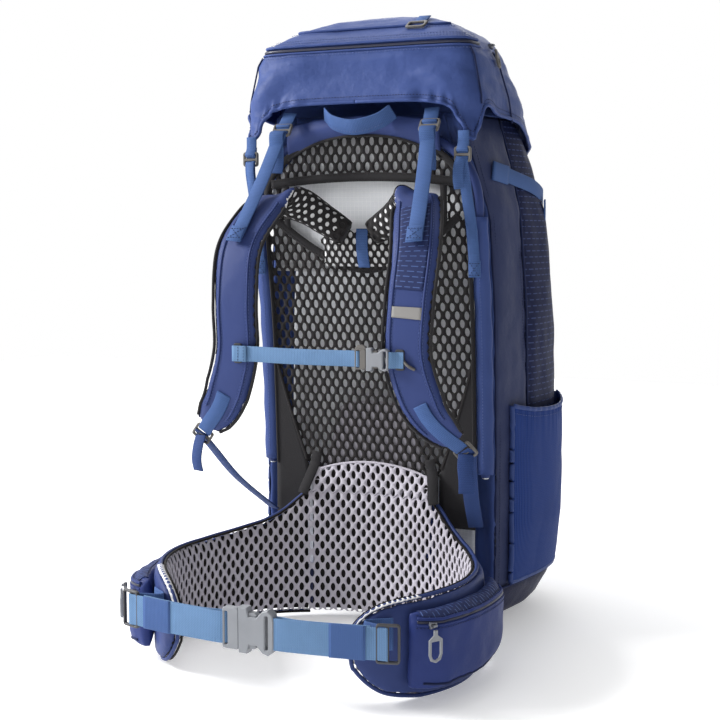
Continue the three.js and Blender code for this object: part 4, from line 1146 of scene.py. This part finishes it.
def build_shoulder_straps():
    for side, sign in SIDES:
        count = 90
        path, across, up, width = strap_frames(sign, count)
        a = np.arange(20) * 2 * math.pi / 20
        soft = lambda v, p: np.sign(v) * np.abs(v) ** p
        grown = strap_half_depth(np.linspace(0, 1, count))
        sideways = soft(np.cos(a), 0.55)[None, :] * width[:, None] / 2
        upwards = soft(np.sin(a), 0.8)[None, :] * grown[:, None]
        rings = path[:, None] + across[:, None] * sideways[..., None] + up[:, None] * upwards[..., None]
        pad = stuffed(f"shoulder_strap_pad_{side}", rings, "strap",
                      f"shoulder_strap_{side}", 2.5, voxel=4.0)
        tree = tree_of(pad)

        length = np.linalg.norm(np.diff(path, axis=0), axis=1).sum()
        # which way is away from the bag: the outer nylon face looks to -y at the chest
        outer = 1 if up[60][1] < 0 else -1
        run = np.linspace(0.27, 0.985, 120)
        edge_p = [strap_surface(sign, run, e, outer * 3.6) for e in (-0.97, 0.97)]
        for label, line in zip(("inner", "outer"), edge_p):
            tube(f"strap_piping_{label}_{side}", line, 2.1, "binding", count=220)

        def lining(s, c):
            t = s / length
            half = along(STRAP_WIDTHS, t) / 2
            deep = strap_half_depth(t)
            flat = half - deep
            wrap = np.clip((np.abs(c) - flat) / deep, 0, math.pi)
            beyond = np.clip(np.abs(c) - flat - math.pi * deep, 0, flat)
            across = np.where(np.abs(c) <= flat, np.abs(c), flat + deep * np.sin(wrap) - beyond)
            lift = np.where(np.abs(c) <= flat, -deep, -deep * np.cos(wrap))
            pts = strap_surface(sign, t, np.sign(c) * across / half, lift * outer)
            return snapped(pts, tree, 0.8)

        def lined(s, c):
            t = s / length
            half, deep = along(STRAP_WIDTHS, t) / 2, strap_half_depth(t)
            limit = 2.4 * half if t < 0.2 else half + deep * 0.75
            return abs(c) <= limit

        perforated(f"strap_lining_{side}", ((2, length - 4), (-57, 57)), lining, "charcoal",
                   (12.5, 19.0), (3.1, 3.5), thickness=1.2, keep=lined)
        pad.data.materials.append(M["white_core"])
        pad.data.materials.append(M["binding"])
        # the core shows pale through the pierced lining
        for poly in pad.data.polygons:
            c = to_layout([tuple(poly.center)])[0]
            i = int(np.argmin(((path - c) ** 2).sum(1)))
            n = np.array(poly.normal)
            if i < 0.025 * count:
                poly.material_index = 2
            elif np.dot(n, up[i]) * outer < 0.15 or i < 0.2 * count:
                poly.material_index = 1

        # outer face: a rail for the sternum strap and rows of stitches; the left strap also gets a raised
        # centre panel
        rails = []
        for e in (-0.62, 0.62):
            rails.append(snapped(strap_surface(sign, np.linspace(0.27, 0.93, 90), e, outer * 8), tree, 0.6))
        for label, line in zip(("inner", "outer"), rails):
            tube(f"strap_rail_{label}_{side}", line, 1.5, "strap", count=170)
            stitches(f"strap_rail_stitches_{label}_{side}", [
                snapped(line, tree, 0.5) + [2.6 * d, 0, 0]
                for d in (-1, 1)
            ], "thread")
        if side == "left":
            t = np.linspace(0.3, 0.55, 36)
            rows = [snapped(strap_surface(sign, t, e, outer * 9), tree, 1.0)
                    for e in np.linspace(-0.56, 0.56, 14)]
            cloth_sheet("strap_dashed_panel_left", np.array(rows), "dashed_strap",
                        thickness=0.8, flip=outer < 0)
        # a webbing patch at the foot, folded over the lock's bar
        foot = snapped(strap_surface(sign, np.linspace(0.86, 0.99, 12), 0.0, outer * 9), tree, 1.1)
        lock = place_of(f"strap_lock_{side}")
        toward = unit(lock - foot[-1])
        route = np.vstack([foot[::3], foot[-1] + toward * 5, lock - toward * 6])
        band(f"strap_foot_web_{side}", route, 20, across[-2] * sign, "mid_web",
             count=40)
        anchor = np.array([sign * 154, 38, 150.0])
        start = lock + toward * 4
        middle = (start + anchor) / 2 + [0, -3, -7]
        route = [lock - toward * 2 + [0, -3.4, 1], start + [0, 1, 0], start + (middle - start) * 0.3,
                 middle, anchor]
        band(f"lower_web_{side}", route, 20, (sign, 0.35, 0), "dark_web",
             replaces=[f"lower_webbing_{side}"], count=60)
        tail = [lock + toward * 3 + [0, -4, 0], lock + [sign * 3, -8, -16], lock + [sign * 5, -9, -34],
                lock + [sign * 4, -6, -50]]
        end = band(f"lower_web_tail_{side}", tail, 20, (sign, 0.35, 0), "dark_web", None,
                   count=26)
        joined(end, lock + [0, 0, -32], lock + [0, 0, -6])

    build_yoke()


def build_yoke():
    """A padded yoke faced with pierced black mesh, with a plain strip down its middle."""
    def face(x, z, lift):
        half = 60.0
        crown = 5.0 * np.sqrt(np.clip(1 - (x / half) ** 4, 0, 1)) * np.sin(
            math.pi * np.clip((z - STRAP_APEX + 100) / 58, 0.05, 0.95))
        return np.column_stack([x, along(MESH_Y, z) - 5.5 - crown - lift, z])

    levels = np.linspace(STRAP_APEX - 96, STRAP_APEX - 46, 16)
    rows = [face(np.linspace(-60, 60, 40), np.full(40, z), 0) for z in levels]
    yoke = cloth_sheet("yoke_pad", np.array(rows), "white_core", replaces=["yoke"],
                       thickness=4)
    perforated("yoke_facing", ((-58, 58), (STRAP_APEX - 96, STRAP_APEX - 46)), lambda x, z: face(x, z, 0.9),
               "charcoal", (11.6, 17.0), (3.1, 4.4), thickness=1.2)
    path = face(np.zeros(8), np.linspace(STRAP_APEX - 97, STRAP_APEX - 45, 8), 2.0)
    band("yoke_middle_strip", path, 17, (1, 0, 0), "mid_web", thickness=1.6,
         count=20)


def build_load_lifters():
    for side, sign in SIDES:
        lock = place_of(f"lifter_lock_{side}")
        low = box(f"load_lifter_{side}")[0]
        foot = np.array([sign * 127, low[1] - BACK_PLANE + 2, low[2] + 2])
        fall = unit(foot - lock)
        up = np.array([0, -fall[2], fall[1]]) * (1 if -fall[2] < 0 else -1)
        web = [lock - fall * 7 + up * 2.4, lock + up * -1.4, lock + fall * 6 + up * 2.2,
               lock + fall * 20, (lock + foot) / 2 + [0, 1.5, -3], foot]
        band(f"load_lifter_web_{side}", web, 20, (1, 0, 0), "mid_web",
             replaces=[f"load_lifter_{side}"], count=60)
        band(f"load_lifter_fold_{side}", [foot - fall * 20 + up * 2.4, foot + up * 2.6 + fall * 2], 21.5,
             (1, 0, 0), "mid_web", thickness=3, count=6)
        stitches(f"load_lifter_tacks_{side}", [
            [foot - fall * a + up * 4.4 + [b, 0, 0], foot - fall * c + up * 4.4 + [d, 0, 0]]
            for a, b, c, d in ((2, -8, 2, 8), (16, -8, 16, 8), (2, -8, 16, 8), (16, -8, 2, 8))
        ], "dark_thread", pitch=3, length=2.2)
        band(f"load_lifter_anchor_{side}", [lock - fall * 30 + up * -2, lock - fall * 12 + up * -1,
                                            lock - fall * 6 + up * 2.8, lock - fall * 3.6],
             20, (1, 0, 0), "mid_web", count=24)
        tail = band(f"load_lifter_tail_{side}", [lock + fall * 4 + up * 3.4, lock + fall * 14 + up * 8,
                                                 lock + np.array([sign * 3, -10, -38]),
                                                 lock + np.array([sign * 4, -12, -58])], 20, (1, 0.1, 0),
                    "mid_web", None, count=26)
        joined(tail, lock + [0, 0, -34], lock + [0, 0, -8])


# ---------------------------------------------------------------- hip belt
WING_TOP = [[27, 190], [35, 160], [45, 141], [60, 131], [75, 126], [110, 124], [128, 121], [146, 110]]
WING_FOOT = [[27, 6], [60, 5], [90, 0.4], [118, 0.4], [132, 8], [146, 28]]
POCKET_FOOT = [[72, 34], [95, 21], [124, 17]]


def belt_points(angles, out, z):
    """Points of the belt; the angle is from the lumbar middle, positive to the wearer's left."""
    angles, out, z = np.broadcast_arrays(*(np.asarray(v, float) for v in (angles, out, z)))
    a = np.radians(angles)
    depth = np.where(np.abs(angles) < 90, BELT_BACK, BELT_FRONT) + out
    return np.column_stack([((BELT_HALF_WIDTH + out) * np.sin(a)).ravel(),
                            (BELT_CENTRE_Y + depth * np.cos(a)).ravel(), z.ravel()])


def to_axis(points):
    """Level directions from belt points to the belt's middle."""
    return unit(np.array([0, BELT_CENTRE_Y, 0]) - points * [1, 1, 0])


TIP_FROM = 131  # from this angle the wing's end is rounded
BELT_PITCH, BELT_HOLE = (15.0, 20.0), (3.3, 6.3)


def wing_edges(angles):
    """Foot and top of the belt at belt angles, smoothed, with rounded ends."""
    angles = np.abs(angles)
    top, foot = (
        np.mean([along(table, angles + d) for d in (-4, -2, 0, 2, 4)], 0) for table in (WING_TOP, WING_FOOT)
    )
    round_off = np.clip((angles - TIP_FROM) / (WING_END + 0.4 - TIP_FROM), 0, 1)
    half = (top - foot) / 2 * (1 - round_off ** 2.6) ** (1 / 2.2)
    middle = (top + foot) / 2
    return middle - half, middle + half


def wing_top(angles):
    return wing_edges(angles)[1]


def wing_foot(angles):
    return wing_edges(angles)[0]


def belt_pad(name, start, end, count, node):
    """A closed pad between two belt angles, thin at its edges, then plumped."""
    a = np.linspace(0, 2 * math.pi, 25)[:-1]
    rings = []
    for angle in np.linspace(start, end, count):
        low, high = float(wing_foot(angle)) + 1.5, float(wing_top(angle)) - 1.5
        if abs(start) <= WING_FROM and abs(end) <= WING_FROM:
            low, high = 7.0, 196.5
        tip = min(1.0, 0.35 + abs(WING_END - abs(angle)) / 9)
        middle, half = (low + high) / 2, (high - low) / 2
        out = np.sign(np.sin(a)) * np.abs(np.sin(a)) ** 0.75 * 6.6 * tip
        z = middle + np.sign(np.cos(a)) * np.abs(np.cos(a)) ** 0.35 * half * (0.86 + 0.14 * tip)
        rings.append(belt_points(angle, out, z))
    pad = stuffed(name, np.array(rings), "strap", node, 2.5, voxel=4.5)
    pad.data.materials.append(M["backing"])
    centre = in_frame([[0, BELT_CENTRE_Y, 0]])[0]
    for poly in pad.data.polygons:
        inward = Vector((centre[0] - poly.center[0], centre[1] - poly.center[1], 0)).normalized()
        if poly.normal.dot(inward) > 0.35:
            poly.material_index = 1
    return pad


def mean_radius():
    return (BELT_HALF_WIDTH + (BELT_BACK + BELT_FRONT) / 2) / 2


def build_belt():
    pads = {
        "lumbar": ("lumbar_pad_core", -WING_FROM + 0.4, WING_FROM - 0.4, 30, "lumbar_pad"),
        "left": ("hip_wing_pad_left", WING_FROM + 0.3, WING_END, 64, "hip_wing_left"),
        "right": ("hip_wing_pad_right", -WING_FROM - 0.3, -WING_END, 64, "hip_wing_right"),
    }
    trees = {}
    for label, (name, start, end, count, node) in pads.items():
        trees[label] = tree_of(belt_pad(name, start, end, count, node))
        if label == "lumbar":
            continue
        sign = 1 if label == "left" else -1
        swing = np.linspace(0, 1, 80) ** 0.7
        angles = start + (end - start) * swing
        top_edge = belt_points(angles, -1, wing_top(angles) - 1.4)
        foot_edge = belt_points(angles, -1, np.maximum(wing_foot(angles) + 1.2, 2.8))
        edge = np.vstack([top_edge, foot_edge[::-1][1:]])
        tube(f"belt_edge_binding_{label}", edge, 2.5, "strap", count=300)
        tube(f"belt_edge_trim_{label}", edge + to_axis(edge) * 5.5, 1.6, "backing", count=300)

        # scalloped spacer edge that shows between the facing and the shell at the tip
        t = np.linspace(0, 1, 160)
        strip_angle = sign * (WING_END - 26 + 25.4 * t)
        wave = 2.4 * np.abs(np.sin(t * math.pi * 13))
        top_z = wing_top(strip_angle) - 2.2
        rows = [
            belt_points(strip_angle, -6.2 + 9.5 * v, top_z + 0.8 + wave * (1 - abs(2 * v - 1)) + 1.2 * v)
            for v in np.linspace(0, 1, 5)
        ]
        cloth_sheet(f"belt_spacer_edge_{label}", np.array(rows), "white_core",
                    thickness=1.0, flip=sign < 0)
        # a black strip just under that edge: painted shadow in the gap between the facing and the shell
        rows = [belt_points(strip_angle, -7.4 + 2.2 * v, top_z + 1.6 + wave * 0.7 - 1.2 * v)
                for v in np.linspace(0, 1, 3)]
        cloth_sheet(f"belt_spacer_shadow_{label}", np.array(rows), "backing",
                    thickness=1.0, flip=sign < 0)
    belt_facing(trees)


def facing_top(angles):
    return np.where(np.abs(angles) < WING_FROM, 197.0, wing_top(angles) - 3)


def belt_facing(trees):
    """One pierced facing from tip to tip, lying on all three pads."""
    arc = mean_radius() * math.pi / 180

    def surface(s, z):
        angle = np.clip(s / arc, -WING_END + 0.6, WING_END - 0.6)
        z = np.clip(z, wing_foot(angle) + 3, facing_top(angle))
        lifts = []
        for step in (-3, 0, 3):
            near = belt_points(angle + step, -9.0, z)
            on_wing = np.abs(angle + step) > WING_FROM
            fitted = near.copy()
            for label, chosen in (("lumbar", ~on_wing), ("left", on_wing & (angle > 0)),
                                  ("right", on_wing & (angle < 0))):
                if chosen.any():
                    fitted[chosen] = snapped(near[chosen], trees[label], 1.0)
            lifts.append(((fitted - near) * to_axis(near)).sum(1))
        lift = np.clip(np.max(lifts, 0), -4, 4)
        points = belt_points(angle, -9.0, z)
        return points + to_axis(points) * lift[:, None]

    def inside(s, z):
        angle = s / arc
        return abs(angle) < WING_END and wing_foot(angle) - 1 <= z <= facing_top(angle) + 3

    reach = math.ceil(WING_END * arc / BELT_PITCH[0]) * BELT_PITCH[0]
    perforated("belt_facing", ((-reach, reach), (4, 200)), surface, "grey", BELT_PITCH, BELT_HOLE,
               thickness=1.4, keep=inside)

    # the facing climbs from the lumbar pad to meet the suspended mesh
    def climb(x, z):
        share = np.clip((z - 186) / 34, 0, 1)
        belt_y = BELT_CENTRE_Y + BELT_BACK * np.sqrt(np.clip(1 - (x / BELT_HALF_WIDTH) ** 2, 0, 1)) - 9.5
        return np.column_stack([x, belt_y + (along(MESH_Y, z) - 3.2 - belt_y) * share, z])

    rise = lambda x: 226 - 20 * (x / 96) ** 2
    perforated("lumbar_bridge", ((-90, 90), (186, 226)), lambda x, z: climb(x, np.minimum(z, rise(x))),
               "grey", BELT_PITCH, BELT_HOLE, thickness=1.4)
    for side, sign in SIDES:
        edge_z = np.linspace(178, 236, 12)
        edge_x = sign * (99 - 14 * np.linspace(0, 1, 12))
        band(f"lumbar_corner_binding_{side}", climb(edge_x, edge_z) + [0, -1.4, 0], 15, (1, 0, 0),
             "binding", thickness=2.0, count=30)
    rim = np.linspace(-95, 95, 30)
    tube("lumbar_bridge_binding", climb(rim, rise(rim)) + [0, -0.3, 0], 1.6, "grey",
         count=90, flat=0.6)
    backing = []
    for v in np.linspace(0, 1, 14):
        x = np.linspace(-94, 94, 30)
        z = 190 + (rise(x) - 4 - 190) * v
        backing.append(climb(x, z) + [0, 1.6, 0])
    cloth_sheet("lumbar_bridge_core", np.array(backing), "backing", thickness=1.0)
    foam = []
    for v in np.linspace(0, 1, 20):
        x = np.linspace(-78, 78, 30) * (1 - 0.35 * v)
        z = FRAME_FOOT + 2 + 96 * v * (1 - 0.25 * (x / 78) ** 2)
        foam.append(np.column_stack([x, along(MESH_Y, z) + 3.4, z]))
    cloth_sheet("lumbar_foam_behind_mesh", np.array(foam), "grey", thickness=1.2)


def circle_points(angles, radius, z):
    angles, radius, z = np.broadcast_arrays(*(np.asarray(v, float) for v in (angles, radius, z)))
    a = np.radians(angles)
    return np.column_stack([(radius * np.sin(a)).ravel(), (BELT_CENTRE_Y + radius * np.cos(a)).ravel(),
                            z.ravel()])


def pocket_ring(angle):
    """The section of a hip pocket: foot, outer face, zip line and sloping top."""
    angle = abs(angle)
    end = min(angle - POCKET_FROM, POCKET_TO - angle) / 8
    swell = min(1.0, math.sqrt(max(0.1, end)))
    inner = belt_points(angle, BELT_THICKNESS / 2 + 1.0, 0)[0]
    inner_radius = math.hypot(inner[0], inner[1] - BELT_CENTRE_Y)
    outer = inner_radius + 4 + (POCKET_RADIUS - 1.5 - inner_radius - 4) * swell
    top = float(wing_top(angle)) - 10
    foot = float(along(POCKET_FOOT, angle)) + 1
    return [(inner_radius, foot + 4), (outer - 7, foot), (outer - 2, foot + 7), (outer, foot + 22),
            (outer, 60), (outer, POCKET_ZIP_Z - 6), (outer - 1.5, POCKET_ZIP_Z),
            (outer - 7, POCKET_ZIP_Z + 5),
            ((outer + inner_radius) / 2, (POCKET_ZIP_Z + top) / 2 + 6), (inner_radius + 3, top),
            (inner_radius, top - 2)]


def build_hip_pockets():
    for side, sign in SIDES:
        angles = np.linspace(POCKET_FROM, POCKET_TO, 36)
        rings = np.array([circle_points(sign * a, *zip(*pocket_ring(a))) for a in angles])
        pouch = stuffed(f"hip_pocket_pouch_{side}", rings, "pocket", f"hip_pocket_{side}",
                        3.0, voxel=4.5)
        co = np.array([v.co for v in pouch.data.vertices])
        local = to_layout(co)
        bumpy = drift(local, 34, 3.3) * 1.8 + drift(local, 15, 6.1) * 0.7
        normals = np.array([v.normal for v in pouch.data.vertices])
        pouch.data.vertices.foreach_set("co", (co + normals * bumpy[:, None] / 1000).ravel())
        tree = tree_of(pouch)

        # dashed top panel, the zip under its piped edge, and piping along the foot
        grid = []
        for a in np.linspace(POCKET_FROM + 3, POCKET_TO - 3, 50):
            section = pocket_ring(a)
            r0, z0 = section[6]
            r1, z1 = section[9]
            mid = section[8]
            line = spline([[r0, z0 + 3, 0], [mid[0], mid[1], 0], [r1, z1, 0]], 12)
            grid.append(circle_points(np.full(12, sign * a), line[:, 0], line[:, 1]))
        grid = np.array(grid).transpose(1, 0, 2)
        top = snapped(grid.reshape(-1, 3), tree, 1.0).reshape(grid.shape)
        cloth_sheet(f"hip_pocket_top_{side}", top, "dashed_strap", thickness=0.8,
                    flip=sign > 0)
        run = np.linspace(POCKET_FROM + 2, POCKET_TO - 1.5, 60)

        def on(z, lift):
            radius = [pocket_ring(a)[5][0] for a in run]
            return snapped(circle_points(sign * run, radius, z), tree, lift)

        tube(f"hip_pocket_zip_piping_{side}", on(POCKET_ZIP_Z + 4, 1.4), 2.0, "pocket", count=140)
        tube(f"hip_pocket_zip_coil_{side}", on(POCKET_ZIP_Z, 0.6), 1.8, "coil", count=140, flat=0.6)
        tube(f"hip_pocket_zip_edge_{side}", on(POCKET_ZIP_Z - 4, 0.4), 1.2, "pocket", count=140, flat=0.6)
        stitches(f"hip_pocket_stitches_{side}", [on(POCKET_ZIP_Z + 9, 1.5), on(POCKET_ZIP_Z - 7, 0.5)],
                 "dark_thread")
        foot_run = snapped(circle_points(sign * run, POCKET_RADIUS - 3, 27), tree, 0.4)
        tube(f"hip_pocket_foot_piping_{side}", foot_run, 1.5, "dark_thread", count=120)


def hip_line(sign, *pairs):
    """Points at the height of the hip fastening, from distances off the middle and layout y."""
    return [[sign * x, y, HIP_LINE_Z] for x, y in pairs]


def build_hip_fastening():
    y_line = place_of("hip_buckle_female")[1]
    female, male = box("hip_buckle_female"), box("hip_buckle_male")
    for side, sign in SIDES:
        glide = place_of(f"hip_glide_{side}")
        body = "pack" if side == "left" else "hip_release_body"
        bar_x = female[1][0] - 5.0 if side == "left" else male[0][0] + 5.0
        reach = abs(glide[0])
        start = abs(bar_x)
        # over the buckle's bar, out to the tri-glide, woven through it
        web = hip_line(sign, (start - 0.5, y_line - 0.5), (start + 7, y_line - 4.6),
                       (start + 30, y_line - 3.4), (105, y_line + 2), (reach - 22, glide[1] - 7),
                       (reach - 9, glide[1] - 4.5), (reach + 1, glide[1] - 3.0))
        band(f"hip_web_outer_{side}", web, 38, (0, 0, 1), "light_web", body,
             [f"hip_webbing_{side}"], count=80, thickness=2.0)
        back = hip_line(sign, (start - 0.5, y_line + 1.2), (start + 8, y_line + 3.2),
                        (start + 34, y_line + 0.8), (100, y_line + 5), (reach - 20, glide[1] - 1.5))
        band(f"hip_web_return_{side}", back, 38, (0, 0, 1), "light_web", body, count=60)
        # the belt's own webbing, from the wing's tip to the tri-glide
        wing_tip = belt_points(sign * 141, 9.5, HIP_LINE_Z)[0]
        wing_out = belt_points(sign * 132, 11.0, HIP_LINE_Z)[0]
        middle = (np.array([sign * reach, glide[1] + 3, HIP_LINE_Z]) + wing_tip) / 2 + [sign * 4, -4, 0]
        route = [[sign * (reach - 2), glide[1] + 4.0, HIP_LINE_Z], middle, wing_tip + [0, -2, 0], wing_out]
        strap = band(f"hip_wing_web_{side}", route, 38, (0, 0, 1), "mid_web",
                     "pack" if side == "left" else None, count=50)
        if side == "right":
            joined(strap, wing_tip, (sign * (reach - 4), glide[1] + 4, HIP_LINE_Z))
        keeper = hip_line(sign, (reach - 24, glide[1] - 8.6), (reach - 66, y_line + 1.5))
        band(f"hip_web_keeper_{side}", keeper, 39.5, (0, 0, 1), "mid_web", body,
             count=12, thickness=3.2)


def build_sternum():
    buckle_f, buckle_m = box("sternum_buckle_female"), box("sternum_buckle_male")
    y = place_of("sternum_buckle_female")[1]
    left, right = place_of("sternum_clip_left"), place_of("sternum_clip_right")
    z = STERNUM_Z
    band("sternum_web", [[right[0] - 5, right[1] - 3.4, z], [right[0] + 26, right[1] - 3.8, z],
                         [-30, y + 0.4, z - 0.6], [buckle_m[0][0] - 8, y - 0.5, z],
                         [buckle_m[0][0] + 3.5, y - 2.8, z], [buckle_m[0][0] + 6, y, z],
                         [buckle_m[0][0] + 2, y + 1.8, z], [buckle_m[0][0] - 14, y + 1.8, z]],
         20, (0, 0, 1), "light_web", "sternum_release_body", ["sternum_webbing"], count=90)
    band("sternum_web_fold", [[right[0] - 5, right[1] - 5.6, z], [right[0] + 16, right[1] - 6.0, z]], 20.5,
         (0, 0, 1), "light_web", "sternum_release_body", count=8, thickness=2.6)
    stitches("sternum_web_tacks", [
        [[right[0] + a, right[1] - 7.5, z - 8], [right[0] + a, right[1] - 7.5, z + 8]] for a in (4, 12)
    ], "dark_thread", "sternum_release_body", pitch=3, length=2.2)
    band("sternum_short_web", [[buckle_f[1][0] - 3.5, y - 0.5, z], [buckle_f[1][0] + 2, y - 2.0, z],
                               [left[0] - 2, left[1] - 3.8, z], [left[0] + 6, left[1] - 3.4, z]],
         20, (0, 0, 1), "light_web", "sternum_body", count=30)
    # whistle moulded on the upper edge of the male half
    low, high = buckle_m
    a = np.linspace(0, math.pi, 14)
    top = high[2] - 1.5
    cx = (low[0] + high[0]) / 2 - 8
    outline = [[cx - 8, top], *[[cx + 8 * -math.cos(t), top + 6.5 * math.sin(t)] for t in a], [cx + 8, top]]
    n = len(outline)
    pts = [[x, y - 2.6, z_] for x, z_ in outline] + [[x, y + 2.6, z_] for x, z_ in outline]
    faces = [list(range(n)), list(range(n, 2 * n))[::-1]]
    faces += [[i, i + n, (i + 1) % n + n, (i + 1) % n] for i in range(n)]
    whistle = piece("sternum_whistle", pts, faces, "taupe", "sternum_release_body",
                    smooth=False)
    soften_edges(whistle, 0.8)


BEVEL_ABOVE = 32  # degrees between faces


def soften_edges(obj, width):
    """Rounds the sharp edges of a moulded part by `width` millimetres."""
    bevel = obj.modifiers.new("moulded edge", "BEVEL")
    bevel.width, bevel.segments, bevel.limit_method = width / 1000, 2, "ANGLE"
    bevel.angle_limit = math.radians(BEVEL_ABOVE)
    bevel.harden_normals = False
    bevel.use_clamp_overlap = True


HARD_PARTS = {
    "pale_plastic": ["hip_buckle_female", "hip_buckle_male", "sternum_buckle_female",
                     "hip_zip_pull_left", "hip_zip_pull_right"],
    "taupe": ["sternum_buckle_male", "lid_ring", "lid_zip_pull", "cord_lock_button",
              "strap_lock_left", "strap_lock_right", "lifter_lock_left", "lifter_lock_right",
              "lid_lock_left", "lid_lock_right", "front_buckle_female_left", "front_buckle_female_right",
              "front_buckle_male_left", "front_buckle_male_right"],
    "dark_plastic": ["cord_lock_body", "sternum_clip_left", "sternum_clip_right", "hip_glide_left",
                     "hip_glide_right"],
    "slider": ["lid_zip_slider", "hip_zip_slider_left", "hip_zip_slider_right"],
    "alloy": ["frame_hoop"],
}


def finish_hard_parts():
    """CAD parts that show as they are: their finish, and moulded edges."""
    for finish, nodes in HARD_PARTS.items():
        for node in nodes:
            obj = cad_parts[node]
            obj.data.materials.clear()
            obj.data.materials.append(M[finish])
            if finish == "alloy":
                obj.data.polygons.foreach_set("use_smooth", [True] * len(obj.data.polygons))
            else:
                soften_edges(obj, 0.45)


# ---------------------------------------------------------------- straps of the bag itself
def build_bag_straps():
    for side, sign in SIDES:
        # upper compression strap, from the side strip round to the front
        ks = np.linspace(3.45, 7.0, 26)
        zs = np.linspace(626, 582, 26)
        route = np.array([bag_points([sign * k], z, 5.2)[0] for k, z in zip(ks, zs)])
        band(f"side_compression_web_{side}", route, 20, (0, 0, 1), "mid_web",
             count=60)
        band(f"side_compression_patch_{side}", [route[0], route[3]], 25, (0, 0, 1), "mid_web",
             count=8, thickness=3)
        k = 5.6
        at = bag_points([sign * k], 588, 8)[0]
        ahead = unit(bag_points([sign * (k + 0.2)], 588, 8)[0] - at)
        band(f"side_compression_loop_{side}", [at + [0, 0, 2], at + ahead * 3 + [0, 0, -14],
                                               at + ahead * 2 + [0, 0, -34]], 12, ahead, "mid_web",
             count=16)
        # webbing that carries the lid's front buckle down the front panel
        female = box(f"front_buckle_female_{side}")
        x = place_of(f"front_buckle_female_{side}")[0]
        y0, z0 = female[1][1] - BACK_PLANE - 4, female[0][2]
        route = [[x, y0 - 2, z0 + 4]]
        for z in (z0 - 16, z0 - 60, 460):
            route.append([x, bag_points([9 - sign * 0.8], z, 9)[0][1], z])
        band(f"front_strap_lower_{side}", route, 20, (1, 0, 0), "mid_web", count=40)
        male = box(f"front_buckle_male_{side}")
        y1, z1 = (male[0][1] + male[1][1]) / 2 - BACK_PLANE, male[1][2]
        route = [[x, y1, z1 - 4], [x, y1 - 4, z1 + 12], [x, y1 - 17, z1 + 40]]
        band(f"front_strap_upper_{side}", route, 20, (1, 0, 0), "mid_web", "lid_body",
             count=24)


def build_label():
    """A plain reflective tab on the wearer's left strap, and the hose hook below it."""
    sign = 1
    tree = tree_of(bpy.data.objects["shoulder_strap_pad_left"])
    outer = 1 if strap_frames(sign, 90)[2][60][1] < 0 else -1
    t = np.linspace(0.595, 0.625, 6)
    rows = [snapped(strap_surface(sign, t, e, outer * 9), tree, 1.5) for e in np.linspace(-0.6, 0.6, 12)]
    cloth_sheet("strap_label", np.array(rows), "label", thickness=0.9, flip=outer < 0)
    hook = [snapped(strap_surface(sign, [v], e, outer * 9), tree, h)[0]
            for v, e, h in ((0.735, -0.1, 1.5), (0.75, 0.1, 4.5), (0.765, 0.3, 1.5))]
    tube("strap_hose_hook", hook, 2.0, "taupe", count=20)


# ---------------------------------------------------------------- scene
FLOOR_HALF, FLOOR_GAP = 3, 0.0012  # metres; the gap is under the lowest CAD point


def build_stage():
    floor_mesh = bpy.data.meshes.new("floor")
    corners = [(x * FLOOR_HALF, y * FLOOR_HALF, 0) for x, y in ((-1, -1), (1, -1), (1, 1), (-1, 1))]
    floor_mesh.from_pydata(corners, [], [(0, 1, 2, 3)])
    floor = bpy.data.objects.new("floor", floor_mesh)
    bpy.context.scene.collection.objects.link(floor)
    floor.location.z = CAD_BOX[0].z - FLOOR_GAP
    paper = bpy.data.materials.new("studio_paper")
    paper.use_nodes = True
    for socket, value in (("Base Color", (0.93, 0.93, 0.93, 1)), ("Emission Color", (1, 1, 1, 1)),
                          ("Emission Strength", 0.3), ("Roughness", 0.9)):
        paper.node_tree.nodes["Principled BSDF"].inputs[socket].default_value = value
    floor_mesh.materials.append(paper)
    world = bpy.data.worlds.new("studio")
    world.use_nodes = True
    # white paper behind the pack, falling off to a dim room on its front and right
    sky = world.node_tree.nodes["Background"]
    sky.inputs[0].default_value = (1, 1, 1, 1)
    x, y, z = Socket(world.node_tree).axes("Generated")
    glow = (y * 0.88 - x * 0.47 + z.absolute() * 0.2).clamped(0.05, 0.72) * 0.7 + 0.3
    world.node_tree.links.new(glow.socket, sky.inputs[1])
    bpy.context.scene.world = world
    for name, place, aim, size, power in (
        ("key_light", (-3.0, -1.5, 2.0), (0, 0, 0.45), 1.1, 175),
        ("front_light", (0.3, -3.2, 1.5), (0, 0, 0.4), 1.4, 8),
        ("top_light", (-0.6, 0.2, 3.0), (0, 0, 0.5), 1.6, 26),
        ("rear_light", (-0.9, 3.0, 1.8), (0, 0, 0.5), 2.0, 25),
    ):
        lamp = bpy.data.lights.new(name, "AREA")
        lamp.energy, lamp.size = power, size
        lamp_object = bpy.data.objects.new(name, lamp)
        bpy.context.scene.collection.objects.link(lamp_object)
        lamp_object.location = place
        lamp_object.rotation_euler = (Vector(aim) - Vector(place)).to_track_quat("-Z", "Y").to_euler()


def build_camera():
    camera = bpy.data.objects.new("camera", bpy.data.cameras.new("camera"))
    bpy.context.scene.collection.objects.link(camera)
    azimuth, pitch = math.radians(24.97), math.radians(5.434)
    camera.location = (0.769, -1.8464, 0.5457)
    aim = Vector((-math.sin(azimuth) * math.cos(pitch), math.cos(azimuth) * math.cos(pitch),
                  -math.sin(pitch)))
    camera.rotation_mode = "QUATERNION"
    camera.rotation_quaternion = aim.to_track_quat("-Z", "Y")
    camera.data.sensor_width = 36
    camera.data.lens = 67.757
    camera.data.clip_start, camera.data.clip_end = 0.05, 30
    bpy.context.scene.camera = camera
    bpy.context.scene.view_settings.view_transform = "Standard"


build_bag()
build_pockets()
build_back()
build_lid()
build_lid_straps()
build_haul_loop()
build_shoulder_straps()
build_load_lifters()
build_belt()
build_hip_pockets()
build_hip_fastening()
build_sternum()
build_bag_straps()
build_label()
finish_hard_parts()
build_stage()
build_camera()
